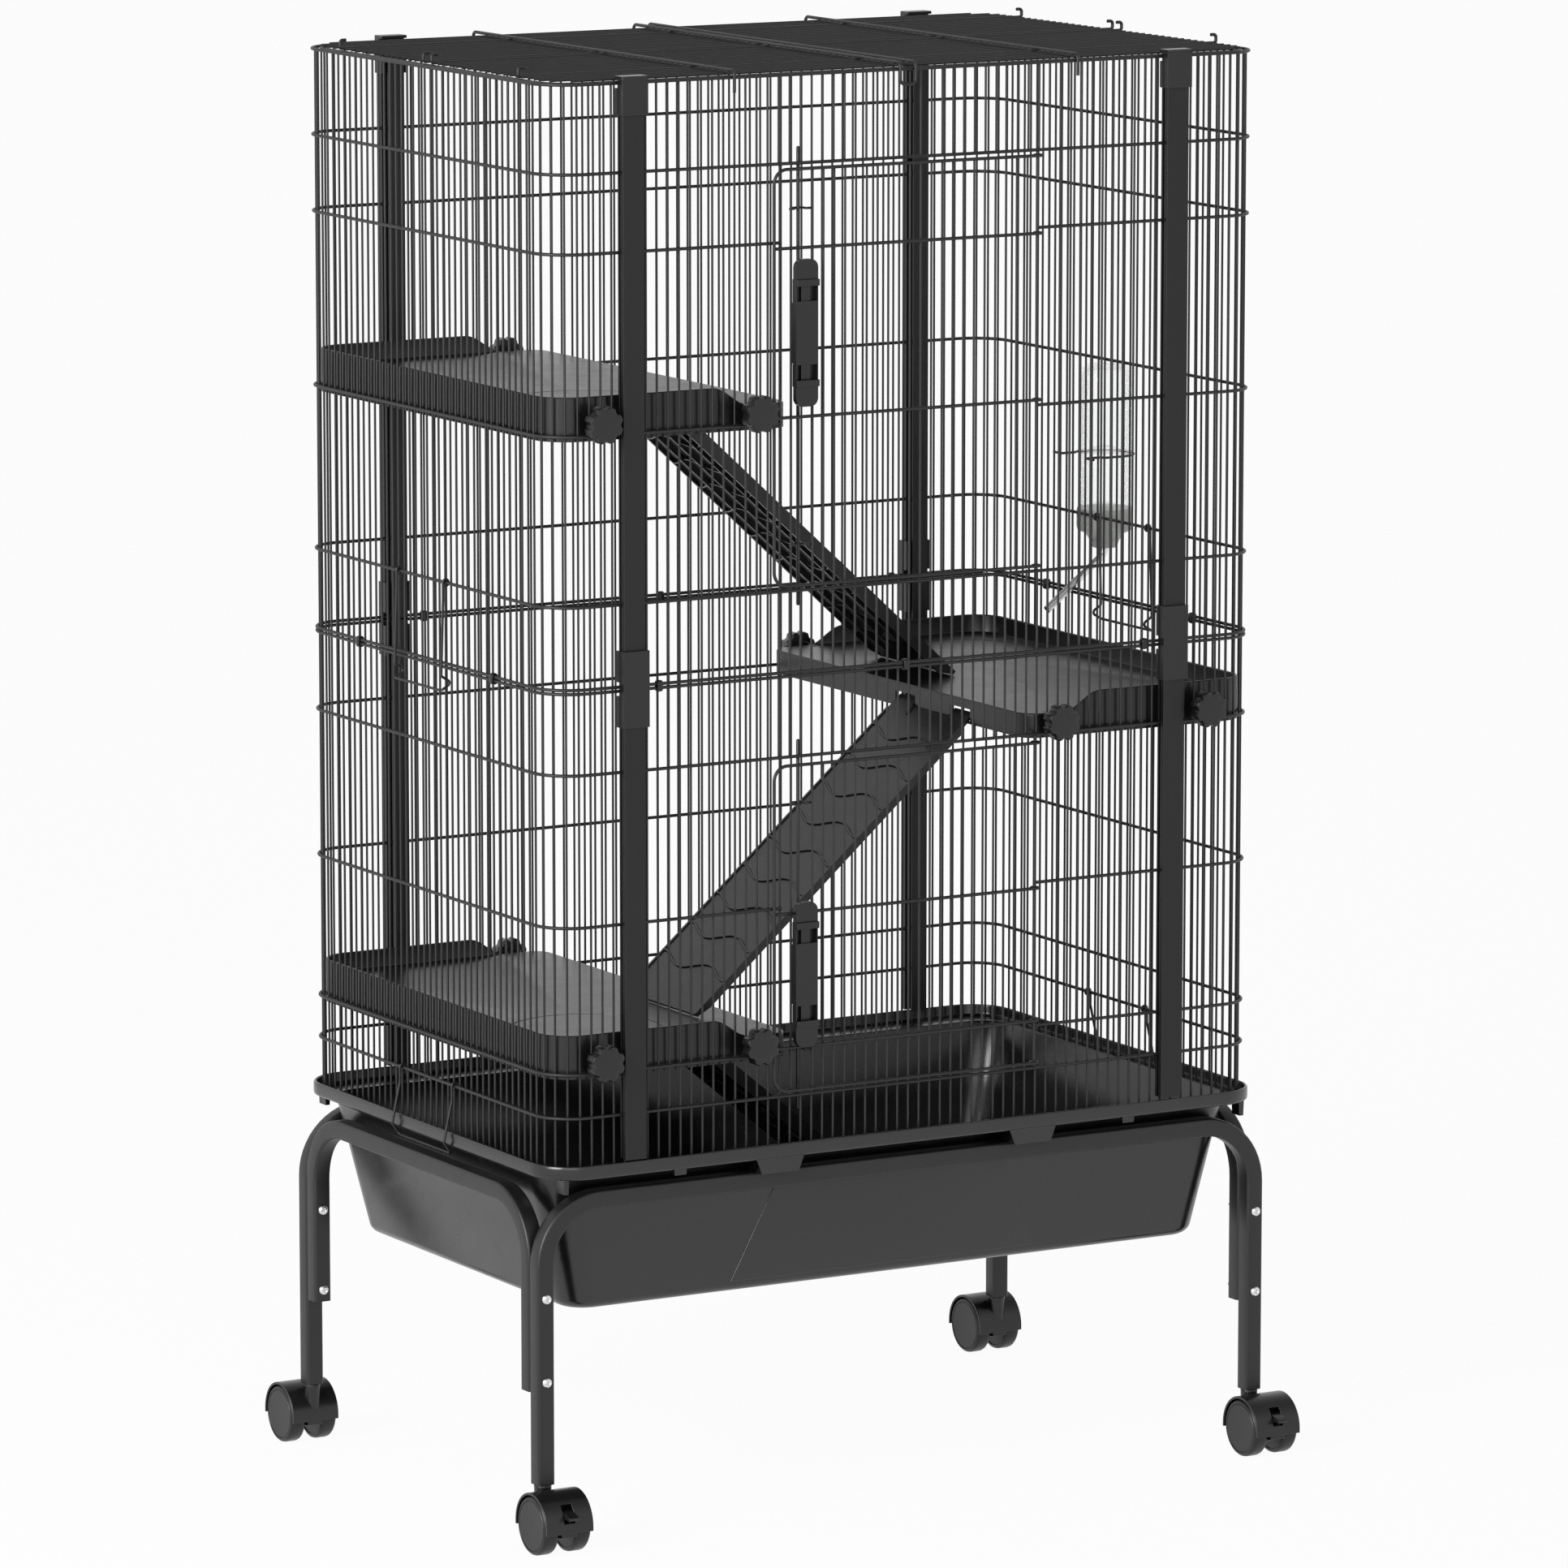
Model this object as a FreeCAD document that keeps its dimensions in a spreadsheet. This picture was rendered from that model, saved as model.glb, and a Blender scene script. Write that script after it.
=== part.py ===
import FreeCAD, Part
import math
import os
import re

import Sketcher
from FreeCAD import Placement, Rotation, Vector

# A two-tier wire cage for small animals: X runs along its length, Y to the back, Z up.
# The origin is on the floor, in the middle between the four casters. All lengths are millimetres.
doc = FreeCAD.newDocument("small_animal_cage")
sizes = doc.addObject("Spreadsheet::Sheet", "sizes")

SIZES = {
    # wire tower
    "cage_length": 790, "cage_depth": 517, "cage_corner": 40,
    "hoop_wire": 3.2, "bar_wire": 2.2, "bar_pitch": 12, "weld_gap": 0.05,
    "short_arm": 86, "long_arm": 105, "panel_end_gap": 1,
    "rim_to_guard": 44.6, "guard_to_low_deck": 42, "low_deck_to_brace": 141,
    "brace_to_mid_deck": 145.5, "mid_deck_to_joint": 79.4, "tier_gap": 0.6,
    "joint_to_sill": 80, "sill_to_top_deck": 161, "top_deck_to_rail": 171,
    "rail_to_lintel": 74.6, "lintel_to_roof": 83.6,
    # roof panel
    "roof_gap": 0.3, "roof_cross_spacing": 189, "roof_pair_spacing": 17, "roof_long_spacing": 182,
    "roof_hook_drop": 14, "roof_hook_gap": 0.4, "roof_hook_bend": 5, "roof_curl_rise": 8,
    "roof_curl_reach": 6, "roof_curl_bend": 2.6,
    # corner posts, joiners, caps and tier clips
    "post_width": 23, "post_front_depth": 6.5, "post_web": 6, "post_slot_gap": 0.8, "post_back_width": 18,
    "post_back_depth": 2.5, "post_foot_gap": 1, "post_split_gap": 1, "post_top_rise": 3.6,
    "fitting_wall": 2.2, "fitting_front": 3.3, "fitting_gap": 0.3, "fitting_back": 4.5,
    "joiner_height": 73, "notch_margin": 3, "cap_height": 34, "cap_plate": 3, "cap_plate_reach": 15,
    "clip_width": 6, "clip_wall": 1.8, "clip_gap": 0.35,
    # doors
    "hinge_to_post": 153, "doorway_width": 282, "door_lap": 10.7, "door_stand_off": 0.4,
    "door_corner": 14, "door_level_step": 5.2, "door_head_step": 8, "hinge_gap": 0.1,
    "door_pitch": 11.87, "guide_wire": 2.4, "guide_bend": 2.6, "guide_inset": 38, "guide_gap": 0.3,
    # latches
    "latch_height": 140, "lower_latch_rise": 6, "latch_width": 24, "latch_thickness": 6, "latch_gap": 0.3,
    "latch_skin": 2, "latch_rail": 3, "latch_rail_length": 58, "latch_edge_round": 1.2, "latch_end_round": 8,
    "window_width": 22, "bolt_rod": 3.6, "bolt_gap": 0.3, "bolt_engage": 15.4,
    "bolt_travel": 17.5, "bolt_end_margin": 19.7, "tab_width": 10.3, "tab_height": 22, "neck_height": 2,
    "tab_grip_width": 24.8, "tab_grip_height": 6.5, "tab_grip_depth": 2.6, "tab_grip_lap": 5.5,
    "tab_gap": 0.3, "spring_diameter": 5, "spring_wall": 0.7, "spring_gap": 0.3,
    # platforms, knobs and ramps
    "platform_length": 257, "platform_gap": 0.8, "platform_side_gap": 0.3, "platform_wall": 3,
    "platform_skirt": 24, "platform_rise": 18, "platform_corner": 33, "platform_open_corner": 18,
    "deck_above_hoop": 18.5,
    "sweep_start": 84, "sweep_length": 40, "sweep_radius": 26.7,
    "bowl_ring_diameter": 150, "bowl_ring_groove": 2, "bowl_ring_depth": 0.8,
    "bowl_from_end": 95, "bowl_from_front": 112,
    "front_knob_near": 42, "front_knob_far": 208, "back_knob_near": 64, "back_knob_far": 234,
    "knob_drop": 6.5, "knob_diameter": 36, "knob_thickness": 15, "knob_scallop": 9, "knob_scallop_bite": 2.6,
    "hub_diameter": 18, "hub_length": 6, "hub_gap": 0.3, "stud_diameter": 6, "stud_gap": 0.05,
    "boss_diameter": 14, "boss_length": 9, "boss_end": 2,
    "top_ramp_slope": 42, "middle_ramp_slope": 40.9, "low_ramp_slope": 39.5,
    "ramp_width": 142, "ramp_board": 3, "ramp_flange": 12, "ramp_flange_wall": 3, "ramp_end_taper": 16,
    "ramp_offset": 72, "ramp_hook_drop": 18, "ramp_rest_gap": 0.3, "tongue_width": 35,
    "tongue_inset": 1, "tongue_reach": 6, "tongue_hook": 5, "tongue_hook_length": 2.8,
    "tongue_lead": 4, "flange_start": 14, "slot_side_gap": 1.5, "slot_below": 3.9, "slot_above": 5,
    # base tray
    "rim_end_reach": 5, "rim_side_reach": 6.5, "tray_corner": 45, "lip_height": 14, "lip_wall": 3,
    "tray_wall": 2.5, "shelf_thickness": 3, "shelf_end": 12, "shelf_side": 34, "bin_corner": 35,
    "bin_end_taper": 33, "bin_side_taper": 14, "bin_floor_corner": 30, "bin_height": 137,
    "panel_proud": 1.2, "panel_top": 256, "panel_bottom": 342, "panel_top_drop": 36,
    "tab_length": 53, "tab_slant": 6, "tab_spacing": 283, "tag_length": 14,
    "tag_drop": 5, "tag_spacing": 502, "rib_thickness": 6, "rib_end_inset": 20, "rib_depth": 24,
    "rib_seat_gap": 0.2, "foot_gap": 0.4,
    # stand
    "stand_tube": 18, "stand_wall": 1.5, "stand_round": 3, "leg_end_inset": 1, "arch_inset": 23,
    "stand_height": 280, "tray_stand_off": 14, "stand_bend": 60, "leg_fit": 0.2, "leg_plug": 45,
    "short_leg_end": 150, "bolt_height_low": 162, "bolt_height_high": 243, "bolt_diameter": 6,
    "bolt_hole_gap": 0.1, "bolt_head": 10, "bolt_head_height": 3.2, "nut_width": 10, "nut_height": 5,
    "bolt_tail": 2, "bolt_seat_gap": 0.05,
    # casters
    "caster_height": 62, "wheel_diameter": 57, "wheel_width": 15.8, "wheel_round": 3, "wheel_inner": 9.3,
    "hood_gap": 1, "hood_wall": 2.4, "hood_skirt": 4, "hood_web": 17, "hood_web_drop": 12,
    "axle_diameter": 6, "axle_gap": 0.05, "axle_inset": 3, "caster_trail": 23, "stem_diameter": 11,
    "stem_gap": 0.08, "stem_length": 38, "stem_boss": 17, "stem_boss_height": 26,
    "lever_width": 11, "lever_gap": 0.3, "lever_pin": 3.6, "lever_pin_gap": 0.05, "lever_pin_out": 20,
    "lever_pin_up": 14, "lever_half": 3.4, "lever_reach": 20, "lever_tip": 3, "lever_tip_drop": 4,
    "lever_slot_below": 8, "lever_slot_above": 9, "lever_slot_inner": 6,
    # water bottle
    "bottle_diameter": 54, "bottle_height": 146, "bottle_wall": 1.5, "bottle_gap": 1.5,
    "bottle_from_middle": 82, "bottle_above_sill": 4, "cap_diameter": 57, "cap_length": 24,
    "cap_neck_gap": 0.1, "cone_length": 17, "cone_diameter": 25, "spout_diameter": 8, "spout_wall": 0.8,
    "spout_fit": 0.05, "spout_neck": 6.5, "spout_reach": 68, "spout_drop": 53, "spout_bend": 14,
    "bracket_height": 54, "bracket_gap": 0.4, "bracket_wire": 2.6, "bracket_tip": 14, "bracket_jog": 14,
    "bracket_bend": 2.5,
    # wire latches at the ends
    "latch_wire": 2.6, "end_latch_gap": 0.1, "tier_latch_span": 92, "tier_latch_drop": 90,
    "tier_latch_splay": 2.5, "tier_nib_reach": 11.5, "tier_nib_drop": 7, "tier_latch_bend": 3,
    "latch_lead": 14, "bail_span": 108, "bail_splay": 9, "bail_drop": 54, "bail_tuck": 8,
    "bail_tuck_drop": 12, "bail_bend": 4,
    # cuts run this far past what they cut
    "overrun": 2,
}
for row, (name, amount) in enumerate(SIZES.items(), start=1):
    sizes.set(f"A{row}", name)
    sizes.set(f"B{row}", str(amount))
    sizes.setAlias(f"B{row}", name)
doc.recompute()

EYE_TURN = math.radians(290)
KNOB_LOBES = 8
NUT_SIDES = 6
HALF_TURN = Rotation(Vector(0, 0, 1), 180)
# Where the clips sit, in shares of the front between its posts and of the depth
front_clip_shares = (-0.45, 0, 0.45)
end_clip_shares = (-0.28, 0.28)
# Lengths nearer than this are the same; a swept wire may miss its volume by this share
tiny = 1e-6
sweep_share = 0.01


def cells(formula):
    """The formula with each size name turned into a reference to its cell."""
    return re.sub(r"[a-z]\w+", lambda word: f"sizes.{word[0]}" if word[0] in SIZES else word[0], formula)


def number(formula):
    """What the formula comes to with the sheet's present values."""
    return float(sizes.evalExpression(cells(formula)))


# Sketches, features and wires


def new_body(label):
    body = doc.addObject("PartDesign::Body", label)
    body.Label = label
    return body


def new_sketch(body, role, lift):
    """An empty sketch on one of the body's own origin planes, lifted along its normal."""
    sketch = body.newObject("Sketcher::SketchObject", "outline")
    plane = next(item for item in body.Origin.OriginFeatures if item.Role == role)
    sketch.AttachmentSupport = [(plane, "")]
    sketch.MapMode = "FlatFace"
    sketch.setExpression("AttachmentOffset.Base.z", cells(lift))
    return sketch


def hold(sketch, kind, target, formula):
    """A constraint whose datum follows the formula."""
    index = sketch.addConstraint(Sketcher.Constraint(kind, *target, number(formula)))
    sketch.setExpression(f"Constraints[{index}]", cells(formula))


def draw(body, role, outline, lift="0"):
    """A closed outline. (x, y) is a straight run to a corner, (x, y, radius, turn) an arc that ends there,
    counter-clockwise where turn is 1 and clockwise where it is -1."""
    sketch = new_sketch(body, role, lift)
    corners = [Vector(number(step[0]), number(step[1]), 0) for step in outline]
    starts, ends = [], []
    for index, step in enumerate(outline):
        begin, end = corners[index - 1], corners[index]
        if len(step) == 2:
            sketch.addGeometry(Part.LineSegment(begin, end))
            starts.append(1)
            ends.append(2)
            continue
        radius, turn = number(step[2]), step[3]
        chord = end - begin
        rise = math.sqrt(max(radius**2 - (chord.Length / 2) ** 2, 0))
        side = Vector(-chord.y, chord.x, 0).normalize() * turn
        centre = (begin + end) / 2 + side * rise
        first, last = (begin, end) if turn == 1 else (end, begin)
        angles = [math.atan2(spot.y - centre.y, spot.x - centre.x) for spot in (first, last)]
        if angles[1] < angles[0]:
            angles[1] += 2 * math.pi
        sketch.addGeometry(Part.ArcOfCircle(Part.Circle(centre, Vector(0, 0, 1), radius), *angles))
        starts.append(1 if turn == 1 else 2)
        ends.append(2 if turn == 1 else 1)
    for index, step in enumerate(outline):
        follower = (index + 1) % len(outline)
        meet = Sketcher.Constraint("Coincident", index, ends[index], follower, starts[follower])
        sketch.addConstraint(meet)
        hold(sketch, "DistanceX", (-1, 1, index, ends[index]), step[0])
        hold(sketch, "DistanceY", (-1, 1, index, ends[index]), step[1])
        if len(step) > 2:
            hold(sketch, "Radius", (index,), step[2])
    return sketch


def draw_circle(body, role, across, up, radius, lift="0"):
    sketch = new_sketch(body, role, lift)
    centre = Vector(number(across), number(up), 0)
    sketch.addGeometry(Part.Circle(centre, Vector(0, 0, 1), number(radius)))
    hold(sketch, "DistanceX", (-1, 1, 0, 3), across)
    hold(sketch, "DistanceY", (-1, 1, 0, 3), up)
    hold(sketch, "Radius", (0,), radius)
    return sketch


def box_outline(left, right, low, high):
    return [(left, low), (right, low), (right, high), (left, high)]


def round_outline(half_x, half_y, radius):
    """A rectangle about the sketch origin with four round corners."""
    outline = []
    for sign_x, sign_y in (("", "-"), ("", ""), ("-", ""), ("-", "-")):
        flat = (f"{sign_x}({half_x} - {radius})", f"{sign_y}({half_y})")
        upright = (f"{sign_x}({half_x})", f"{sign_y}({half_y} - {radius})")
        first, last = (flat, upright) if (sign_x == "") == (sign_y == "-") else (upright, flat)
        outline += [first, (*last, radius, 1)]
    return outline


def feature(body, kind, sketch, length, back=False, both=False):
    """A Pad or Pocket of the sketch, along its normal, against it (back) or half each way (both)."""
    result = body.newObject(f"PartDesign::{kind}", kind.lower())
    result.Profile = sketch
    result.setExpression("Length", cells(length))
    result.Reversed = back
    if both:
        result.SideType = "Symmetric"
    return result


def pad(body, sketch, length, back=False, both=False):
    return feature(body, "Pad", sketch, length, back, both)


def pocket(body, sketch, length, back=False, both=False):
    """A Pocket that has to take something away."""
    doc.recompute()
    before = body.Shape.Volume
    result = feature(body, "Pocket", sketch, length, back, both)
    doc.recompute()
    if body.Shape.Volume >= before:
        raise ValueError(f"a pocket of {body.Label} cuts nothing")
    return result


def round_edges(body, radius, wanted):
    """Fillet on the edges of the body's present shape that the test picks."""
    doc.recompute()
    base = body.Tip
    names = [f"Edge{i}" for i, edge in enumerate(base.Shape.Edges, start=1) if wanted(edge)]
    result = body.newObject("PartDesign::Fillet", "round")
    result.Base = (base, names)
    result.setExpression("Radius", cells(radius))
    return result


def group(label, members):
    """One node that holds several separate pieces."""
    node = doc.addObject("Part::Compound", label)
    node.Label = label
    node.Links = members
    return node


def solid_node(label, shapes):
    """One node whose shapes are made here from the sheet's values."""
    node = doc.addObject("Part::Feature", label)
    node.Label = label
    node.Shape = Part.makeCompound(shapes)
    node.Placement = Placement()
    return node


def rod(diameter, start, end):
    run = end - start
    return Part.makeCylinder(diameter / 2, run.Length, start, run)


def bent_edges(points, bend):
    """Straight runs through the points, joined by tangent arcs of one radius, or of one for each corner."""
    edges = []
    begin = points[0]
    bends = bend if isinstance(bend, list) else [bend] * (len(points) - 2)
    for before, corner, after, radius in zip(points, points[1:], points[2:], bends):
        inward = (corner - before).normalize()
        outward = (after - corner).normalize()
        half = inward.getAngle(outward) / 2
        cut = radius * math.tan(half)
        bow = (outward - inward).normalize() * (radius / math.cos(half) - radius)
        edges.append(Part.makeLine(begin, corner - inward * cut))
        edges.append(Part.Arc(corner - inward * cut, corner + bow, corner + outward * cut).toShape())
        begin = corner + outward * cut
    edges.append(Part.makeLine(begin, points[-1]))
    return edges


def swept(edges, diameter):
    """A round wire of the given diameter along the edges, whose volume has to match its length."""
    path = Part.Wire(edges)
    first = path.Edges[0]
    start, heading = first.valueAt(first.FirstParameter), first.tangentAt(first.FirstParameter)
    if path.OrderedVertexes[0].Point.distanceToPoint(start) > tiny:
        start, heading = first.valueAt(first.LastParameter), first.tangentAt(first.LastParameter)
    section = Part.Wire(Part.makeCircle(diameter / 2, start, heading))
    shape = path.makePipeShell([section], True, True)
    expected = path.Length * math.pi * diameter**2 / 4
    if not shape.isValid() or abs(shape.Volume / expected - 1) > sweep_share:
        raise ValueError("a bent wire did not sweep cleanly")
    return shape


def bent_wire(points, bend, diameter):
    return swept(bent_edges(points, bend), diameter)


def turned(shape):
    """A copy turned half a turn about the tower's middle."""
    copy = shape.copy()
    copy.rotate(Vector(), Vector(0, 0, 1), 180)
    return copy


# Levels of the tower, counted up from the floor
stand_top = number("caster_height + stand_height")
shelf_low = stand_top + number("tray_stand_off")
shelf_top = shelf_low + number("shelf_thickness")
rim_top = shelf_low + number("lip_height")
guard = rim_top + number("rim_to_guard")
low_deck_hoop = guard + number("guard_to_low_deck")
brace = low_deck_hoop + number("low_deck_to_brace")
mid_deck_hoop = brace + number("brace_to_mid_deck")
joint = mid_deck_hoop + number("mid_deck_to_joint")
joint_step = number("(hoop_wire + tier_gap)/2")
sill = joint + number("joint_to_sill")
top_deck_hoop = sill + number("sill_to_top_deck")
rail = top_deck_hoop + number("top_deck_to_rail")
lintel = rail + number("rail_to_lintel")
roof = lintel + number("lintel_to_roof")

# Paths seen from above: hoops lie outside, upright bars just inside them
hoop_wire, bar_wire = number("hoop_wire"), number("bar_wire")
hoop_x = number("(cage_length - hoop_wire)/2")
hoop_y = number("(cage_depth - hoop_wire)/2")
hoop_bend = number("cage_corner - hoop_wire/2")
bar_inset = number("(hoop_wire + bar_wire)/2 + weld_gap")
bar_x, bar_y, bar_bend = hoop_x - bar_inset, hoop_y - bar_inset, hoop_bend - bar_inset
left_post = number("short_arm - cage_length/2")
right_post = number("cage_length/2 - long_arm")
slot_end = number("post_web/2 + panel_end_gap")
edge_bar = number("post_web/2 + panel_end_gap + bar_wire")
hinge = Vector(right_post - number("hinge_to_post"), -hoop_y - number("door_stand_off - hinge_gap"), 0)
doorway_left = hinge.x - number("doorway_width")


def spread(start, end, pitch):
    """Evenly spaced values from start to end, as near to the pitch as fits."""
    count = max(round((end - start) / pitch), 1)
    return [start + (end - start) * i / count for i in range(count + 1)]


# Wall panels


def end_path(half_x, half_y, bend, front_end, back_end):
    """Edges of a U round the left end, from the front post to the back one."""
    points = [Vector(front_end, -half_y, 0), Vector(-half_x, -half_y, 0)]
    points += [Vector(-half_x, half_y, 0), Vector(back_end, half_y, 0)]
    return bent_edges(points, bend)


bar_path = Part.Wire(end_path(bar_x, bar_y, bar_bend, left_post - edge_bar, -right_post - edge_bar))
end_bars = bar_path.discretize(Number=round(bar_path.Length / number("bar_pitch")) + 1)
flat_bars = spread(left_post + edge_bar, right_post - edge_bar, number("bar_pitch"))


def end_panel(levels, low, high):
    """Hoops and upright bars of a U-shaped panel at the left end."""
    edges = end_path(hoop_x, hoop_y, hoop_bend, left_post - slot_end, -right_post - slot_end)
    hoop = swept(edges, hoop_wire)
    shapes = []
    for level in levels:
        copy = hoop.copy()
        copy.translate(Vector(0, 0, level))
        shapes.append(copy)
    lift_low, lift_high = Vector(0, 0, low), Vector(0, 0, high)
    return shapes + [rod(bar_wire, spot + lift_low, spot + lift_high) for spot in end_bars]


def flat_panel(levels, low, high, doorway=None):
    """Horizontals and upright bars between the two front posts, open where there is a doorway."""
    left, right = left_post + slot_end, right_post - slot_end
    clear = number("bar_pitch/2")
    shapes = []

    def horizontal(start, end, level):
        shapes.append(rod(hoop_wire, Vector(start, -hoop_y, level), Vector(end, -hoop_y, level)))

    def bar(across, start, end):
        shapes.append(rod(bar_wire, Vector(across, -bar_y, start), Vector(across, -bar_y, end)))

    for level in levels:
        if doorway and doorway[0] < level < doorway[1]:
            horizontal(left, doorway_left - bar_wire / 2, level)
            horizontal(hinge.x + hoop_wire / 2 + number("weld_gap"), right, level)
        else:
            horizontal(left, right, level)
    for across in flat_bars:
        if doorway and doorway_left - clear < across < hinge.x + clear:
            bar(across, low, doorway[0] + hoop_wire / 2)
            bar(across, doorway[1] - hoop_wire / 2, high)
        else:
            bar(across, low, high)
    if doorway:
        room = hoop_wire / 2 + number("weld_gap")
        bar(doorway_left - bar_wire / 2, doorway[0] + room, doorway[1] - room)
        foot, head = Vector(0, 0, doorway[0] + room), Vector(0, 0, doorway[1] - room)
        shapes.append(rod(hoop_wire, hinge + foot, hinge + head))
    return shapes


lower_levels = [guard, low_deck_hoop, brace, mid_deck_hoop, joint - joint_step]
upper_levels = [joint + joint_step, sill, top_deck_hoop, rail, lintel, roof]
lower_span = (shelf_top + number("foot_gap"), joint - joint_step + hoop_wire / 2)
upper_span = (joint + joint_step - hoop_wire / 2, roof + hoop_wire / 2)
nodes = []
for tier, levels, span, doorway in (
    ("lower", lower_levels, lower_span, (guard, mid_deck_hoop)),
    ("upper", upper_levels, upper_span, (sill, lintel)),
):
    left_shapes = end_panel(levels, *span)
    nodes.append(solid_node(f"{tier}_left_panel", left_shapes))
    nodes.append(solid_node(f"{tier}_right_panel", [turned(shape) for shape in left_shapes]))
    nodes.append(solid_node(f"{tier}_front_panel", flat_panel(levels, *span, doorway)))
    nodes.append(solid_node(f"{tier}_back_panel", [turned(shape) for shape in flat_panel(levels, *span)]))

# Roof panel: its rim lies just inside the bars, the wires lie on the rim
rim_inset = number("(bar_wire + hoop_wire)/2 + post_slot_gap + post_back_depth + roof_gap")
rim_x, rim_y, rim_bend = bar_x - rim_inset, bar_y - rim_inset, bar_bend - rim_inset
half_rim = [Vector(0, -rim_y, roof), Vector(-rim_x, -rim_y, roof)]
half_rim += [Vector(-rim_x, rim_y, roof), Vector(0, rim_y, roof)]
left_rim = bent_wire(half_rim, rim_bend, hoop_wire)
roof_shapes = [left_rim, turned(left_rim)]
thin_level = roof + number("(hoop_wire + bar_wire)/2 + weld_gap")
heavy_level = roof + number("hoop_wire + weld_gap")
cross_level = heavy_level + number("hoop_wire + weld_gap")
pair = number("roof_pair_spacing")
heavy_rows = [-number("roof_long_spacing"), -pair / 2, pair / 2, number("roof_long_spacing")]
thin_edge = rim_y - hoop_wire / 2
for across in spread(-thin_edge, thin_edge, number("bar_pitch")):
    past_corner = max(abs(across) - (rim_y - rim_bend), 0)
    reach = rim_x - rim_bend + math.sqrt(rim_bend**2 - past_corner**2)
    if all(abs(across - row) > hoop_wire for row in heavy_rows):
        start, end = Vector(-reach, across, thin_level), Vector(reach, across, thin_level)
        roof_shapes.append(rod(bar_wire, start, end))
curl_rise, curl_reach = number("roof_curl_rise"), number("roof_curl_reach")
for row in heavy_rows:
    curl_x = rim_x + hoop_wire / 2
    low, high = heavy_level, heavy_level + curl_rise
    points = [Vector(curl_reach - curl_x, row, high), Vector(-curl_x, row, high), Vector(-curl_x, row, low)]
    points += [Vector(-spot.x, spot.y, spot.z) for spot in reversed(points)]
    roof_shapes.append(bent_wire(points, number("roof_curl_bend"), hoop_wire))
hook_y = number("cage_depth/2 + hoop_wire/2 + roof_hook_gap")
hook_low = roof - number("roof_hook_drop")
front_middle = (left_post + right_post) / 2


def over_roof(across):
    """Corners of a cross wire from its back hook over the roof to its front hook."""
    ends = [(hook_y, hook_low), (hook_y, cross_level), (-hook_y, cross_level), (-hook_y, hook_low)]
    return [Vector(across, depth, level) for depth, level in ends]


for offset in (-number("roof_cross_spacing"), number("roof_cross_spacing")):
    roof_shapes.append(bent_wire(over_roof(front_middle + offset), number("roof_hook_bend"), hoop_wire))
pair_path = over_roof(front_middle - pair / 2) + over_roof(front_middle + pair / 2)[::-1]
roof_shapes.append(bent_wire(pair_path, number("roof_hook_bend"), hoop_wire))
nodes.append(solid_node("roof_panel", roof_shapes))

# Corner posts: strips of H section whose side slots hold the panel ends
post_places = [(left_post, False), (right_post, False), (-left_post, True), (-right_post, True)]
post_face = "(cage_depth/2 + post_front_depth)"
slot_front = "(cage_depth/2 + post_slot_gap)"
slot_back = "(cage_depth/2 - hoop_wire - weld_gap - bar_wire - post_slot_gap)"


def place(body, across, back, level=0):
    """Stands a piece made for the front at its place on the front or, turned, on the back."""
    body.Placement = Placement(Vector(across, 0, level), HALF_TURN if back else Rotation())
    return body


def post_strip(across, back, low, high):
    body = new_body("post_strip")
    half = [
        ("post_width/2", f"-{post_face}"), ("post_width/2", f"-{slot_front}"),
        ("post_web/2", f"-{slot_front}"), ("post_web/2", f"-{slot_back}"),
        ("post_back_width/2", f"-{slot_back}"), ("post_back_width/2", f"-{slot_back} + post_back_depth"),
    ]
    outline = half + [(f"-{x}", y) for x, y in reversed(half)]
    pad(body, draw(body, "XY_Plane", outline), str(high - low))
    return place(body, across, back, low)


post_foot = rim_top + number("post_foot_gap")
post_head = roof + number("post_top_rise")
split = number("post_split_gap/2")
strips = [post_strip(*spot, post_foot, joint - split) for spot in post_places]
strips += [post_strip(*spot, joint + split, post_head) for spot in post_places]
nodes.append(group("corner_posts", strips))

# Joiners over the split of each post, caps on top, and clips round the doubled hoop
fitting_inner = "(post_width/2 + fitting_gap)"
fitting_outer = "(post_width/2 + fitting_gap + fitting_wall)"
fitting_face = "(cage_depth/2 + post_front_depth + fitting_gap + fitting_front)"
fitting_seat = "(cage_depth/2 + post_front_depth + fitting_gap)"
fitting_back = "(cage_depth/2 - fitting_back)"


def fitting(across, back, low, height, notch_low, notch_high):
    """A channel that grips a post from outside, notched where the hoops pass."""
    body = new_body("fitting")
    half = [
        (fitting_outer, f"-{fitting_face}"), (fitting_outer, f"-{fitting_back}"),
        (fitting_inner, f"-{fitting_back}"), (fitting_inner, f"-{fitting_seat}"),
    ]
    outline = half + [(f"-{x}", y) for x, y in reversed(half)]
    pad(body, draw(body, "XY_Plane", outline), height)
    reach = f"({fitting_outer} + overrun)"
    gap = box_outline(f"-{reach}", reach, f"-{slot_front}", f"-{fitting_back} + overrun")
    pocket(body, draw(body, "XY_Plane", gap, notch_low), f"{notch_high} - ({notch_low})", back=True)
    return place(body, across, back, low)


def joiner(across, back):
    middle, reach = "joiner_height/2", "(hoop_wire + tier_gap/2 + notch_margin)"
    low = joint - number(middle)
    return fitting(across, back, low, "joiner_height", f"{middle} - {reach}", f"{middle} + {reach}")


def cap(across, back):
    low = post_head + number("fitting_gap - cap_height")
    notch = "cap_height - fitting_gap - post_top_rise - hoop_wire/2 - notch_margin"
    body = fitting(across, back, low, "cap_height", notch, "cap_height + overrun")
    back_edge = f"-{fitting_face} + cap_plate_reach"
    lid = box_outline(f"-{fitting_outer}", fitting_outer, f"-{fitting_face}", back_edge)
    pad(body, draw(body, "XY_Plane", lid, "cap_height"), "cap_plate")
    return body


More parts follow.
